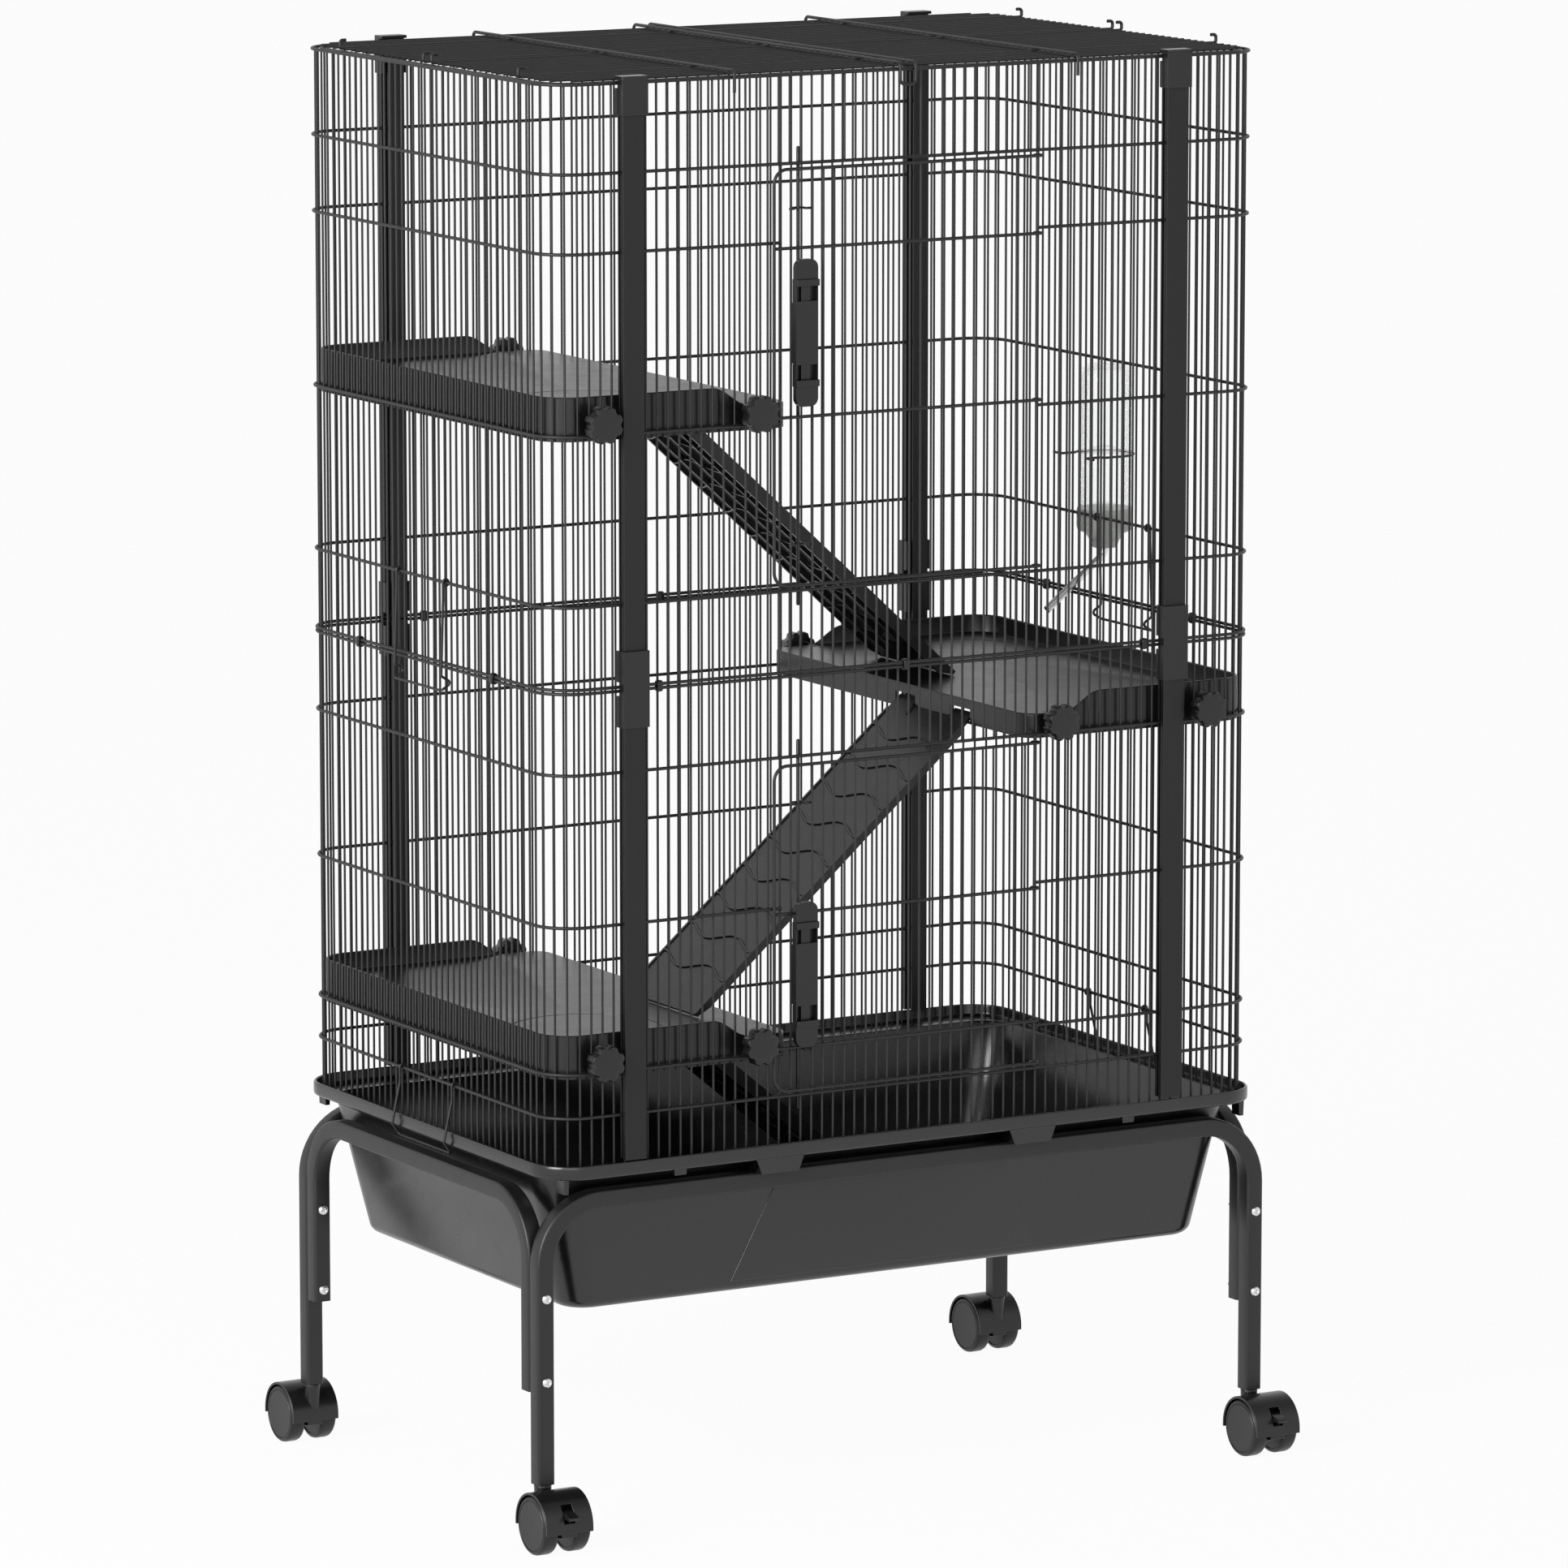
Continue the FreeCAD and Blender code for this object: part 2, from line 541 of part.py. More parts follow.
def midway(spots, target):
    """The middle of the gap between two neighbouring bars that lies nearest to the target."""
    middles = [(a + b) / 2 for a, b in zip(spots, spots[1:])]
    return min(middles, key=lambda spot: abs(spot - target))


def tier_clip(spot, heading):
    """A ring round both hoops of the joint, set between two bars."""
    body = new_body("tier_clip")
    half_y = "(hoop_wire/2 + clip_gap + clip_wall)"
    half_z = "(hoop_wire + tier_gap/2 + clip_gap + clip_wall)"
    ring = round_outline(half_y, half_z, "(clip_wall + clip_gap)")
    pad(body, draw(body, "YZ_Plane", ring), "clip_width", both=True)
    hole = round_outline("(hoop_wire/2 + clip_gap)", "(hoop_wire + tier_gap/2 + clip_gap)", "clip_gap")
    pocket(body, draw(body, "YZ_Plane", hole), "clip_width + overrun", both=True)
    body.Placement = Placement(spot, Rotation(Vector(0, 0, 1), heading))
    return body


side_rows = sorted(spot.y for spot in end_bars if abs(spot.x + bar_x) < number("weld_gap"))
clips = []
for share in front_clip_shares:
    across = midway(flat_bars, front_middle + share * (right_post - left_post))
    clips += [tier_clip(Vector(across, -hoop_y, joint), 0), tier_clip(Vector(-across, hoop_y, joint), 0)]
for share in end_clip_shares:
    depth = midway(side_rows, share * number("cage_depth"))
    clips += [tier_clip(Vector(-hoop_x, depth, joint), 90), tier_clip(Vector(hoop_x, -depth, joint), 90)]
connectors = [joiner(*spot) for spot in post_places] + [cap(*spot) for spot in post_places] + clips
nodes.append(group("panel_connectors", connectors))

# Doors: a bent frame with hinge eyes round the doorway's hinge wire, horizontals and bars
eye_radius = number("hoop_wire + hinge_gap")
door_y = hinge.y - eye_radius
door_bar_y = door_y + bar_inset
door_left = doorway_left - number("door_lap")
rod_steps = round((hinge.x - doorway_left - number("bolt_end_margin")) / number("door_pitch"))
rod_column = hinge.x - number("door_pitch") * rod_steps
bolt_y = bar_inset - hoop_y + number("bar_wire/2 + bolt_gap + bolt_rod/2")
guide_y = bolt_y + number("bolt_rod/2 + guide_gap + guide_wire/2")


def hinge_eye(level):
    """The arc that a horizontal's end makes round the hinge wire."""

    def spot(turn):
        angle = turn - math.pi / 2
        return Vector(hinge.x + eye_radius * math.cos(angle), hinge.y + eye_radius * math.sin(angle), level)

    return Part.Arc(spot(0), spot(EYE_TURN / 2), spot(EYE_TURN)).toShape()


def door(label, low, high, middles, head_step):
    frame_low, frame_high = low + number("door_level_step"), high - head_step
    points = [Vector(hinge.x, door_y, frame_high), Vector(door_left, door_y, frame_high)]
    points += [Vector(door_left, door_y, frame_low), Vector(hinge.x, door_y, frame_low)]
    edges = [hinge_eye(frame_high), *bent_edges(points, number("door_corner")), hinge_eye(frame_low)]
    shapes = [swept(edges, hoop_wire)]
    start = door_left + hoop_wire / 2 + number("weld_gap")
    for level in middles:
        run = Part.makeLine(Vector(start, door_y, level), Vector(hinge.x, door_y, level))
        shapes.append(swept([run, hinge_eye(level)], hoop_wire))
    pitch = number("door_pitch")
    count = int((hinge.x - doorway_left) / pitch)
    for step in range(1, count + 1):
        across = hinge.x - step * pitch
        if abs(across - rod_column) > pitch / 2:
            foot, head = Vector(across, door_bar_y, frame_low), Vector(across, door_bar_y, frame_high)
            shapes.append(rod(bar_wire, foot, head))
    for level in (frame_low + number("guide_inset"), frame_high - number("guide_inset")):
        half, dip = pitch / 2, door_bar_y + number("(bar_wire + guide_wire)/2 + weld_gap")
        legs = [(-pitch, dip), (-half, dip), (-half, guide_y), (half, guide_y), (half, dip), (pitch, dip)]
        points = [Vector(rod_column + x, y, level) for x, y in legs]
        shapes.append(bent_wire(points, number("guide_bend/2"), number("guide_wire")))
    return solid_node(label, shapes)


step = number("door_level_step")
upper_rungs = (top_deck_hoop + step, rail - step)
lower_rungs = (low_deck_hoop + step, brace - step)
nodes.append(door("upper_door", sill, lintel, upper_rungs, step))
nodes.append(door("lower_door", guard, mid_deck_hoop, lower_rungs, number("door_head_step")))

# Door latches: a plate on the bars, two sprung bolts whose rods reach behind the hoops
plate_back = number("hoop_wire/2 + latch_gap") - door_y
latch_out = "(latch_thickness + tab_gap)"
window_high = "latch_height/2 - bolt_end_margin"
window_low = f"{window_high} - neck_height - bolt_travel - 2*tab_gap"
inward = bolt_y + plate_back


def latch_plate(label, middle):
    """Plate with two windows, a channel behind them and rails to the bars; its back face is at zero depth."""
    body = new_body(label)
    outline = round_outline("latch_width/2", "latch_height/2", "latch_end_round")
    pad(body, draw(body, "XZ_Plane", outline), "latch_thickness")
    front = tiny - number("latch_thickness")
    round_edges(body, "latch_edge_round", lambda edge: edge.BoundBox.YMax < front)
    for sign in ("", "-"):
        outer, inner = f"{sign}latch_width/2", f"{sign}(latch_width/2 - latch_rail)"
        edge = box_outline(outer, inner, "-latch_rail_length/2", "latch_rail_length/2")
        pad(body, draw(body, "XZ_Plane", edge), "hoop_wire + latch_gap - tab_gap", back=True)
        near, far = f"{sign}({window_low})", f"{sign}({window_high})"
        opening = box_outline("-window_width/2", "window_width/2", near, far)
        pocket(body, draw(body, "XZ_Plane", opening), "latch_thickness + overrun", back=True)
    side = "(tab_width/2 + tab_gap)"
    channel = box_outline(f"-{side}", side, f"-({window_high})", window_high)
    pocket(body, draw(body, "XZ_Plane", channel), "latch_thickness - latch_skin", back=True)
    body.Placement = Placement(Vector(rod_column, -plate_back, middle), Rotation())
    return body


def latch_bolt(label, middle, up, reach):
    """A rod with its tab in the plate's channel: a neck passes through the window to a grip in front."""
    body = new_body(label)
    top = f"({window_high} - tab_gap)"
    low = f"({top} - tab_height)"
    tab = box_outline("-tab_width/2", "tab_width/2", low, top)
    tab_face = "(latch_thickness - latch_skin - tab_gap)"
    pad(body, draw(body, "XZ_Plane", tab, f"-{inward}"), f"{inward} + {tab_face}")
    neck = box_outline("-tab_width/2", "tab_width/2", f"{top} - neck_height", top)
    pad(body, draw(body, "XZ_Plane", neck, tab_face), f"{latch_out} - {tab_face}")
    grip_low = f"{top} - tab_grip_lap"
    grip = box_outline("-tab_grip_width/2", "tab_grip_width/2", grip_low, f"{grip_low} + tab_grip_height")
    pad(body, draw(body, "XZ_Plane", grip, latch_out), "tab_grip_depth")
    rods = draw_circle(body, "XY_Plane", "0", str(inward), "bolt_rod/2", low)
    pad(body, rods, f"{reach} - {low}")
    turn = Rotation() if up else Rotation(Vector(0, 1, 0), 180)
    body.Placement = Placement(Vector(rod_column, -plate_back, middle), turn)
    return body


def latch_spring(label, middle):
    """Coil between the two tabs, as a plain sleeve, behind the plate."""
    half = number(f"{window_high} - tab_gap - tab_height - spring_gap")
    depth = -plate_back + number("spring_diameter/2 + spring_gap")
    start, end = Vector(rod_column, depth, middle - half), Vector(rod_column, depth, middle + half)
    bore = rod(number("spring_diameter - 2*spring_wall"), start, end)
    return solid_node(label, [rod(number("spring_diameter"), start, end).cut(bore)])


upper_latch = (top_deck_hoop + rail) / 2
lower_latch = (low_deck_hoop + brace) / 2 + number("lower_latch_rise")
for tier, low, high, middle in (
    ("upper", sill, lintel, upper_latch),
    ("lower", guard, mid_deck_hoop, lower_latch),
):
    nodes.append(latch_plate(f"{tier}_latch_plate", middle))
    nodes.append(latch_bolt(f"{tier}_latch_top_bolt", middle, True, high + number("bolt_engage") - middle))
    nodes.append(latch_bolt(f"{tier}_latch_bottom_bolt", middle, False, middle - low + number("bolt_engage")))
    nodes.append(latch_spring(f"{tier}_latch_spring", middle))

# Platforms: a deck with a skirt below and a wall that sweeps down towards the open end
deck_x = bar_x - bar_wire / 2 - number("platform_gap")
deck_y = f"({slot_back} - post_back_depth - platform_side_gap)"
open_end = f"({-deck_x} + platform_length)"
straight = bar_y - number("weld_gap")
all_front = sorted([spot.x for spot in end_bars if spot.y < -straight] + flat_bars)
all_back = sorted([spot.x for spot in end_bars if spot.y > straight] + [-x for x in flat_bars])
knob_spots = []
for name in ("front_knob_near", "front_knob_far"):
    knob_spots.append((midway(all_front, -deck_x + number(name)), False))
for name in ("back_knob_near", "back_knob_far"):
    knob_spots.append((midway(all_back, -deck_x + number(name)), True))


def deck_outline(grow):
    """The platform seen from above, round at the wall end and less round at the open one."""
    left, right, half = f"{-deck_x} - ({grow})", f"{open_end} + ({grow})", f"({deck_y} + ({grow}))"
    tight, wide = f"(platform_open_corner + ({grow}))", f"(platform_corner + ({grow}))"
    return [
        (f"{right} - {tight}", f"-{half}"), (right, f"-{half} + {tight}", tight, 1),
        (right, f"{half} - {tight}"), (f"{right} - {tight}", half, tight, 1),
        (f"{left} + {wide}", half), (left, f"{half} - {wide}", wide, 1),
        (left, f"-{half} + {wide}"), (f"{left} + {wide}", f"-{half}", wide, 1),
    ]


def platform(label, level, back):
    body = new_body(label)
    pad(body, draw(body, "XY_Plane", deck_outline("0"), "-platform_skirt"), "platform_skirt + platform_rise")
    pocket(body, draw(body, "XY_Plane", deck_outline("-platform_wall")), "platform_rise + overrun", back=True)
    under = draw(body, "XY_Plane", deck_outline("-platform_wall"), "-platform_skirt - overrun")
    pocket(body, under, "platform_skirt + overrun - platform_wall", back=True)
    start = f"({open_end} - sweep_start)"
    sweep = [
        (f"{open_end} + overrun", "platform_rise + overrun"), (start, "platform_rise + overrun"),
        (start, "platform_rise"),
        (f"{start} + sweep_length/2", "platform_rise/2", "sweep_radius", -1),
        (f"{start} + sweep_length", "0", "sweep_radius", 1), (f"{open_end} + overrun", "0"),
    ]
    pocket(body, draw(body, "XZ_Plane", sweep), "cage_depth", both=True)
    bowl_x, bowl_y = f"{-deck_x} + bowl_from_end", f"bowl_from_front - {deck_y}"
    ring = draw_circle(body, "XY_Plane", bowl_x, bowl_y, "bowl_ring_diameter/2")
    inner_ring = "bowl_ring_diameter/2 - bowl_ring_groove"
    centre = Vector(*ring.Geometry[0].Center)
    ring.addGeometry(Part.Circle(centre, Vector(0, 0, 1), number(inner_ring)))
    ring.addConstraint(Sketcher.Constraint("Coincident", 1, 3, 0, 3))
    hold(ring, "Radius", (1,), inner_ring)
    pocket(body, ring, "bowl_ring_depth")
    for across, rear in knob_spots:
        sign = "-" if rear else ""
        spot = (str(across), "-knob_drop")
        inner = f"({deck_y} - platform_wall - boss_length)"
        boss = draw_circle(body, "XZ_Plane", *spot, "boss_diameter/2", f"{sign}{inner}")
        pad(body, boss, "boss_length + platform_wall/2", back=rear)
        floor = f"{sign}({inner} + boss_end)"
        hole = draw_circle(body, "XZ_Plane", *spot, "stud_diameter/2 + stud_gap", floor)
        pocket(body, hole, "boss_length + platform_wall + overrun", back=not rear)
    for edge in ("+", "-"):
        centre = f"(ramp_offset {edge} (ramp_width/2 - tongue_inset - tongue_width/2))"
        half = "(tongue_width/2 + slot_side_gap)"
        low, high = "-ramp_hook_drop - slot_below", "-ramp_hook_drop + slot_above"
        slot = box_outline(f"{centre} - {half}", f"{centre} + {half}", low, high)
        begin = f"{open_end} - platform_wall - overrun"
        pocket(body, draw(body, "YZ_Plane", slot, begin), "platform_wall + 2*overrun", back=True)
    return place(body, 0, back, level)


def knob(label, across, rear, level, back):
    """Star knob: stud and hub along Y, eight scallops round the grip."""
    body = new_body(label)
    seat = "(cage_depth/2 + hub_gap)"
    grip = f"{seat} + hub_length"
    inner = f"({deck_y} - platform_wall - boss_length + boss_end + tab_gap)"
    pad(body, draw_circle(body, "XZ_Plane", "0", "0", "stud_diameter/2", inner), f"{grip} - {inner}")
    pad(body, draw_circle(body, "XZ_Plane", "0", "0", "hub_diameter/2", seat), "hub_length")
    pad(body, draw_circle(body, "XZ_Plane", "0", "0", "knob_diameter/2", grip), "knob_thickness")
    bite_up = "knob_diameter/2 + knob_scallop/2 - knob_scallop_bite"
    bite = draw_circle(body, "XZ_Plane", "0", bite_up, "knob_scallop/2", f"{grip} - overrun")
    scallop = pocket(body, bite, "knob_thickness + 2*overrun", back=True)
    lobes = body.newObject("PartDesign::PolarPattern", "lobes")
    lobes.Originals = [scallop]
    lobes.Axis = (next(item for item in body.Origin.OriginFeatures if item.Role == "Y_Axis"), [""])
    lobes.Angle = 360
    lobes.Occurrences = KNOB_LOBES
    body.Tip = lobes
    turn = HALF_TURN if rear != back else Rotation()
    spot = Vector(-across if back else across, 0, level - number("knob_drop"))
    body.Placement = Placement(spot, turn)
    return body


decks = [("top", top_deck_hoop, False), ("middle", mid_deck_hoop, True), ("low", low_deck_hoop, False)]
deck_levels = [hoop + number("deck_above_hoop") for _, hoop, _ in decks]
for (tier, _, back), level in zip(decks, deck_levels):
    nodes.append(platform(f"{tier}_platform", level, back))
    for (across, rear), place_name in zip(knob_spots, ("front_end", "front_inner", "back_end", "back_inner")):
        nodes.append(knob(f"{tier}_knob_{place_name}", across, rear, level, back))

# Ramps hang by two tongues in the skirt's slots and rest on the deck or floor below
floor_level = shelf_low - number("bin_height") + number("tray_wall")
rests = [deck_levels[1], deck_levels[2], floor_level]


def ramp(label, level, rest, slope, back):
    """Made with its pivot at the origin and its run along +X, then sloped; long enough to reach its rest."""
    body = new_body(label)
    drop = level - number("ramp_hook_drop") - rest - number("ramp_rest_gap + ramp_board/2")
    length = str(drop / math.sin(math.radians(slope)))
    board = box_outline("tongue_lead", length, "-ramp_board/2", "ramp_board/2")
    pad(body, draw(body, "XZ_Plane", board), "ramp_width", both=True)
    for sign in ("", "-"):
        flange_low = "-ramp_flange + ramp_board/2"
        side = [
            ("flange_start", flange_low), (f"{length} - ramp_end_taper", flange_low),
            (length, "-ramp_board/2"), (length, "ramp_board/2"), ("flange_start", "ramp_board/2"),
        ]
        lift = f"{sign}(ramp_width/2 - ramp_flange_wall/2) - ramp_flange_wall/2"
        pad(body, draw(body, "XZ_Plane", side, lift), "ramp_flange_wall")
        tongue = box_outline("-tongue_reach", "tongue_lead", "-ramp_board/2", "ramp_board/2")
        lift = f"{sign}(ramp_width/2 - tongue_inset - tongue_width/2) - tongue_width/2"
        pad(body, draw(body, "XZ_Plane", tongue, lift), "tongue_width")
        hook_end, hook_low = "-tongue_reach + tongue_hook_length", "-ramp_board/2 - tongue_hook"
        hook = box_outline("-tongue_reach", hook_end, hook_low, "ramp_board/2")
        pad(body, draw(body, "XZ_Plane", hook, lift), "tongue_width")
    pivot = number(f"{open_end} - platform_wall/2")
    aside, reverse = number("ramp_offset"), -1 if back else 1
    spot = Vector(reverse * pivot, reverse * aside, level - number("ramp_hook_drop"))
    turn = Rotation(Vector(0, 1, 0), slope)
    body.Placement = Placement(spot, HALF_TURN.multiply(turn) if back else turn)
    return body


for (tier, _, back), level, rest in zip(decks, deck_levels, rests):
    nodes.append(ramp(f"{tier}_ramp", level, rest, number(f"{tier}_ramp_slope"), back))

# Base tray: deep bin below a shelf with a lip, hanging tabs and ribs that stand on the tubes


def rounded_wire(half_x, half_y, radius, level):
    """A round-cornered rectangle as one wire, lines and arcs in turn."""
    edges = []
    turns = [(half_x, -half_y), (half_x, half_y), (-half_x, half_y), (-half_x, -half_y)]
    for (x, y), (next_x, next_y) in zip(turns, turns[1:] + turns[:1]):
        sign_x, sign_y = math.copysign(1, x), math.copysign(1, y)
        flat = Vector(x - sign_x * radius, y, level)
        upright = Vector(x, y - sign_y * radius, level)
        bow = radius * (1 - math.sqrt(0.5))
        begin, end = (flat, upright) if sign_x * sign_y < 0 else (upright, flat)
        edges.append(Part.Arc(begin, Vector(x - sign_x * bow, y - sign_y * bow, level), end).toShape())
        sign_x, sign_y = math.copysign(1, next_x), math.copysign(1, next_y)
        flat = Vector(next_x - sign_x * radius, next_y, level)
        upright = Vector(next_x, next_y - sign_y * radius, level)
        edges.append(Part.makeLine(end, flat if sign_x * sign_y < 0 else upright))
    return Part.Wire(edges)


def bin_shape(grow, low, high):
    """The tapered bin, grown outwards, from its floor to its mouth, or past them by the slope."""
    share_low = (low - bin_low) / (shelf_low - bin_low)
    share_high = (high - bin_low) / (shelf_low - bin_low)
    wires = []
    for share, level in ((share_low, low), (share_high, high)):
        half_x = tray_x - number("shelf_end") - (1 - share) * number("bin_end_taper") + grow
        half_y = tray_y - number("shelf_side") - (1 - share) * number("bin_side_taper") + grow
        corner = number("bin_floor_corner") + share * number("bin_corner - bin_floor_corner") + grow
        wires.append(rounded_wire(half_x, half_y, corner, level))
    return Part.makeLoft(wires, True, True)


def plate(half_x, half_y, radius, low, high):
    return Part.Face(rounded_wire(half_x, half_y, radius, low)).extrude(Vector(0, 0, high - low))


def prism(points, depth_low, depth_high):
    """An outline of (x, z) corners drawn along Y."""
    wire = Part.makePolygon([Vector(x, depth_low, z) for x, z in points + points[:1]])
    return Part.Face(wire).extrude(Vector(0, depth_high - depth_low, 0))


bin_low = shelf_low - number("bin_height")
tray_x, tray_y = number("cage_length/2 + rim_end_reach"), number("cage_depth/2 + rim_side_reach")
tray_corner = number("tray_corner")
lip, wall, over = number("lip_wall"), number("tray_wall"), number("overrun")
bin_outer = bin_shape(0, bin_low, shelf_top)
bin_inner = bin_shape(-wall, bin_low + wall, shelf_top + over)
outer = plate(tray_x, tray_y, tray_corner, shelf_low, rim_top)
channel = plate(tray_x - lip, tray_y - lip, tray_corner - lip, shelf_top, rim_top + over)
tray = bin_outer.fuse(outer.cut(channel)).cut(bin_inner)
panel_top = shelf_low - number("panel_top_drop")
half_top, half_bottom = number("panel_top/2"), number("panel_bottom/2")
hollow = bin_shape(-wall / 2, bin_low - over, panel_top + over)
raised = bin_shape(number("panel_proud"), bin_low, panel_top).cut(hollow)
rib_low = stand_top + number("rib_seat_gap")
leg_x, leg_y = tray_x - number("leg_end_inset"), tray_y - number("arch_inset")
extras = []
for turn in (1, -1):
    middle = turn * front_middle
    corners = [(middle - half_top, panel_top), (middle + half_top, panel_top)]
    corners += [(middle + half_bottom, bin_low), (middle - half_bottom, bin_low)]
    extras.append(raised.common(prism(corners, 0, -turn * tray_y)))
    lip_out = -turn * tray_y
    for side in (-1, 1):
        left = middle + side * number("tab_spacing/2") - number("tab_length/2")
        right, slant = left + number("tab_length"), number("tab_slant")
        corners = [(left, shelf_low), (right, shelf_low), (right - slant, rib_low), (left + slant, rib_low)]
        extras.append(prism(corners, lip_out, lip_out + turn * number("rib_depth")))
        left = middle + side * number("tag_spacing/2") - number("tag_length/2")
        right, low = left + number("tag_length"), shelf_low - number("tag_drop")
        corners = [(left, shelf_low), (right, shelf_low), (right, low), (left, low)]
        extras.append(prism(corners, lip_out + turn * lip, lip_out))
        rib_left = side * (leg_x - number("rib_end_inset")) - number("rib_thickness/2")
        corners = [(rib_left, shelf_low), (rib_left + number("rib_thickness"), shelf_low)]
        corners += [(rib_left + number("rib_thickness"), rib_low), (rib_left, rib_low)]
        extras.append(prism(corners, lip_out, lip_out + turn * number("rib_depth")))
tray = tray.fuse(extras).removeSplitter()
nodes.append(solid_node("base_tray", tray.Solids))

# Stand: hollow square tubes bent to arches, the short ones bolted inside the long ones
arch_top = stand_top - number("stand_tube/2")
tube, tube_wall = number("stand_tube"), number("stand_wall")
short_y = leg_y - tube - number("leg_fit")
plug_top = number("caster_height + leg_plug")


def arch_path(half, level):
    """Edges of an arch over the X axis: leg, bend, top run, bend, leg."""
    corners = [(-half, level), (-half, arch_top), (half, arch_top), (half, level)]
    return Part.Wire(bent_edges([Vector(x, 0, z) for x, z in corners], number("stand_bend")))


def tube_section(half_side, round_edge, half, level):
    section = rounded_wire(half_side, half_side, round_edge, level)
    section.translate(Vector(-half, 0, 0))
    return section


def arch(half, foot, bore_foot):
    """A hollow arch; its bore starts at a level of its own, so that a solid plug can stay in the feet."""
    skin = tube_section(tube / 2, number("stand_round"), half, foot)
    core = tube_section(tube / 2 - tube_wall, number("stand_round - stand_wall"), half, bore_foot)
    outer = arch_path(half, foot).makePipeShell([skin], True, True)
    return outer.cut(arch_path(half, bore_foot).makePipeShell([core], True, True))


def hole_along_y(diameter, across, level):
    reach = number("cage_depth")
    return rod(diameter, Vector(across, -reach, level), Vector(across, reach, level))


hole_size = number("bolt_diameter + 2*bolt_hole_gap")
bolt_levels = (number("bolt_height_low"), number("bolt_height_high"))
holes = [hole_along_y(hole_size, side * leg_x, level) for side in (-1, 1) for level in bolt_levels]
long_arch = arch(leg_x, number("caster_height"), plug_top).cut(holes)
for side in (-1, 1):
    low = Vector(side * leg_x, 0, number("caster_height - overrun"))
    high = Vector(side * leg_x, 0, plug_top - tube_wall)
    long_arch = long_arch.cut(rod(number("stem_diameter + 2*stem_gap"), low, high))
long_shapes = [long_arch.copy().translate(Vector(0, side * leg_y, 0)) for side in (-1, 1)]
nodes.append(solid_node("long_stand_arches", long_shapes))
short_arch = arch(short_y, number("short_leg_end"), number("short_leg_end - overrun"))
short_arch.rotate(Vector(), Vector(0, 0, 1), 90)
short_shapes = [short_arch.copy().translate(Vector(side * leg_x, 0, 0)).cut(holes) for side in (-1, 1)]
nodes.append(solid_node("short_stand_arches", short_shapes))


def stand_bolt(across, front_face, back_face, level):
    """Bolt along Y with its head at the front, and a hexagonal nut at its tail."""
    seat = number("bolt_seat_gap")
    head_face = front_face - seat
    tail = back_face + number("nut_height + bolt_tail")
    shank = rod(number("bolt_diameter"), Vector(across, head_face, level), Vector(across, tail, level))
    head_top = Vector(across, head_face - number("bolt_head_height"), level)
    head = rod(number("bolt_head"), Vector(across, head_face, level), head_top)
    radius = number("nut_width") / math.sqrt(3)
    turns = [2 * math.pi * i / NUT_SIDES for i in range(NUT_SIDES)]
    corners = [(across + radius * math.cos(turn), level + radius * math.sin(turn)) for turn in turns]
    nut = prism(corners, back_face + seat, back_face + number("nut_height"))
    hole = hole_along_y(number("bolt_diameter + 2*bolt_seat_gap"), across, level)
    return [shank.fuse(head).removeSplitter(), nut.cut(hole)]


bolts = []
for side in (-1, 1):
    for level in bolt_levels:
        bolts += stand_bolt(side * leg_x, -leg_y - tube / 2, -short_y + tube / 2, level)
        bolts += stand_bolt(side * leg_x, short_y - tube / 2, leg_y + tube / 2, level)
nodes.append(solid_node("stand_bolts", bolts))

# Casters: hood with stem, wheel pair on an axle, brake lever on the front ones
wheel_radius = "wheel_diameter/2"
hood_in = f"({wheel_radius} + hood_gap)"
hood_out = f"({wheel_radius} + hood_gap + hood_wall)"
wheel_level = number(wheel_radius)
hood_width = "2*(wheel_inner + wheel_width)"


def hood(label, spot, turn, braked):
    """Made about the axle: cover over both wheels, web between them, stem at one side."""
    body = new_body(label)
    cover = [
        (hood_out, "-hood_skirt"), (hood_out, "0"), ("0", hood_out, hood_out, 1),
        (f"-{hood_out}", "0", hood_out, 1),
        (f"-{hood_out}", "-hood_skirt"), (f"-{hood_in}", "-hood_skirt"), (f"-{hood_in}", "0"),
        ("0", hood_in, hood_in, -1), (hood_in, "0", hood_in, -1), (hood_in, "-hood_skirt"),
    ]
    pad(body, draw(body, "YZ_Plane", cover), hood_width, both=True)
    core = f"({hood_in} + hood_wall/2)"
    web = [(core, "-hood_web_drop"), (core, "0"), ("0", core, core, 1)]
    web += [(f"-{core}", "0", core, 1), (f"-{core}", "-hood_web_drop")]
    pad(body, draw(body, "YZ_Plane", web), "hood_web", both=True)
    axle_hole = draw_circle(body, "YZ_Plane", "0", "0", "axle_diameter/2 + axle_gap")
    pocket(body, axle_hole, f"{hood_width} + overrun", both=True)
    boss_top = f"(caster_height - {wheel_radius} - fitting_gap)"
    boss_low = f"{boss_top} - stem_boss_height"
    boss = draw_circle(body, "XY_Plane", "0", "caster_trail", "stem_boss/2", boss_low)
    pad(body, boss, "stem_boss_height")
    stem = draw_circle(body, "XY_Plane", "0", "caster_trail", "stem_diameter/2", boss_top)
    pad(body, stem, "stem_length")
    if braked:
        low, high = "lever_pin_up - lever_slot_below", "lever_pin_up + lever_slot_above"
        slot = box_outline("-(lever_width/2 + lever_gap)", "lever_width/2 + lever_gap", low, high)
        depth = "lever_pin_out - lever_slot_inner"
        pocket(body, draw(body, "XZ_Plane", slot, depth), f"{hood_out} + overrun - ({depth})", back=True)
        pin = draw_circle(body, "YZ_Plane", "-lever_pin_out", "lever_pin_up", "lever_pin/2 + lever_pin_gap")
        pocket(body, pin, "hood_web + overrun", both=True)
    body.Placement = Placement(spot, turn)
    return body


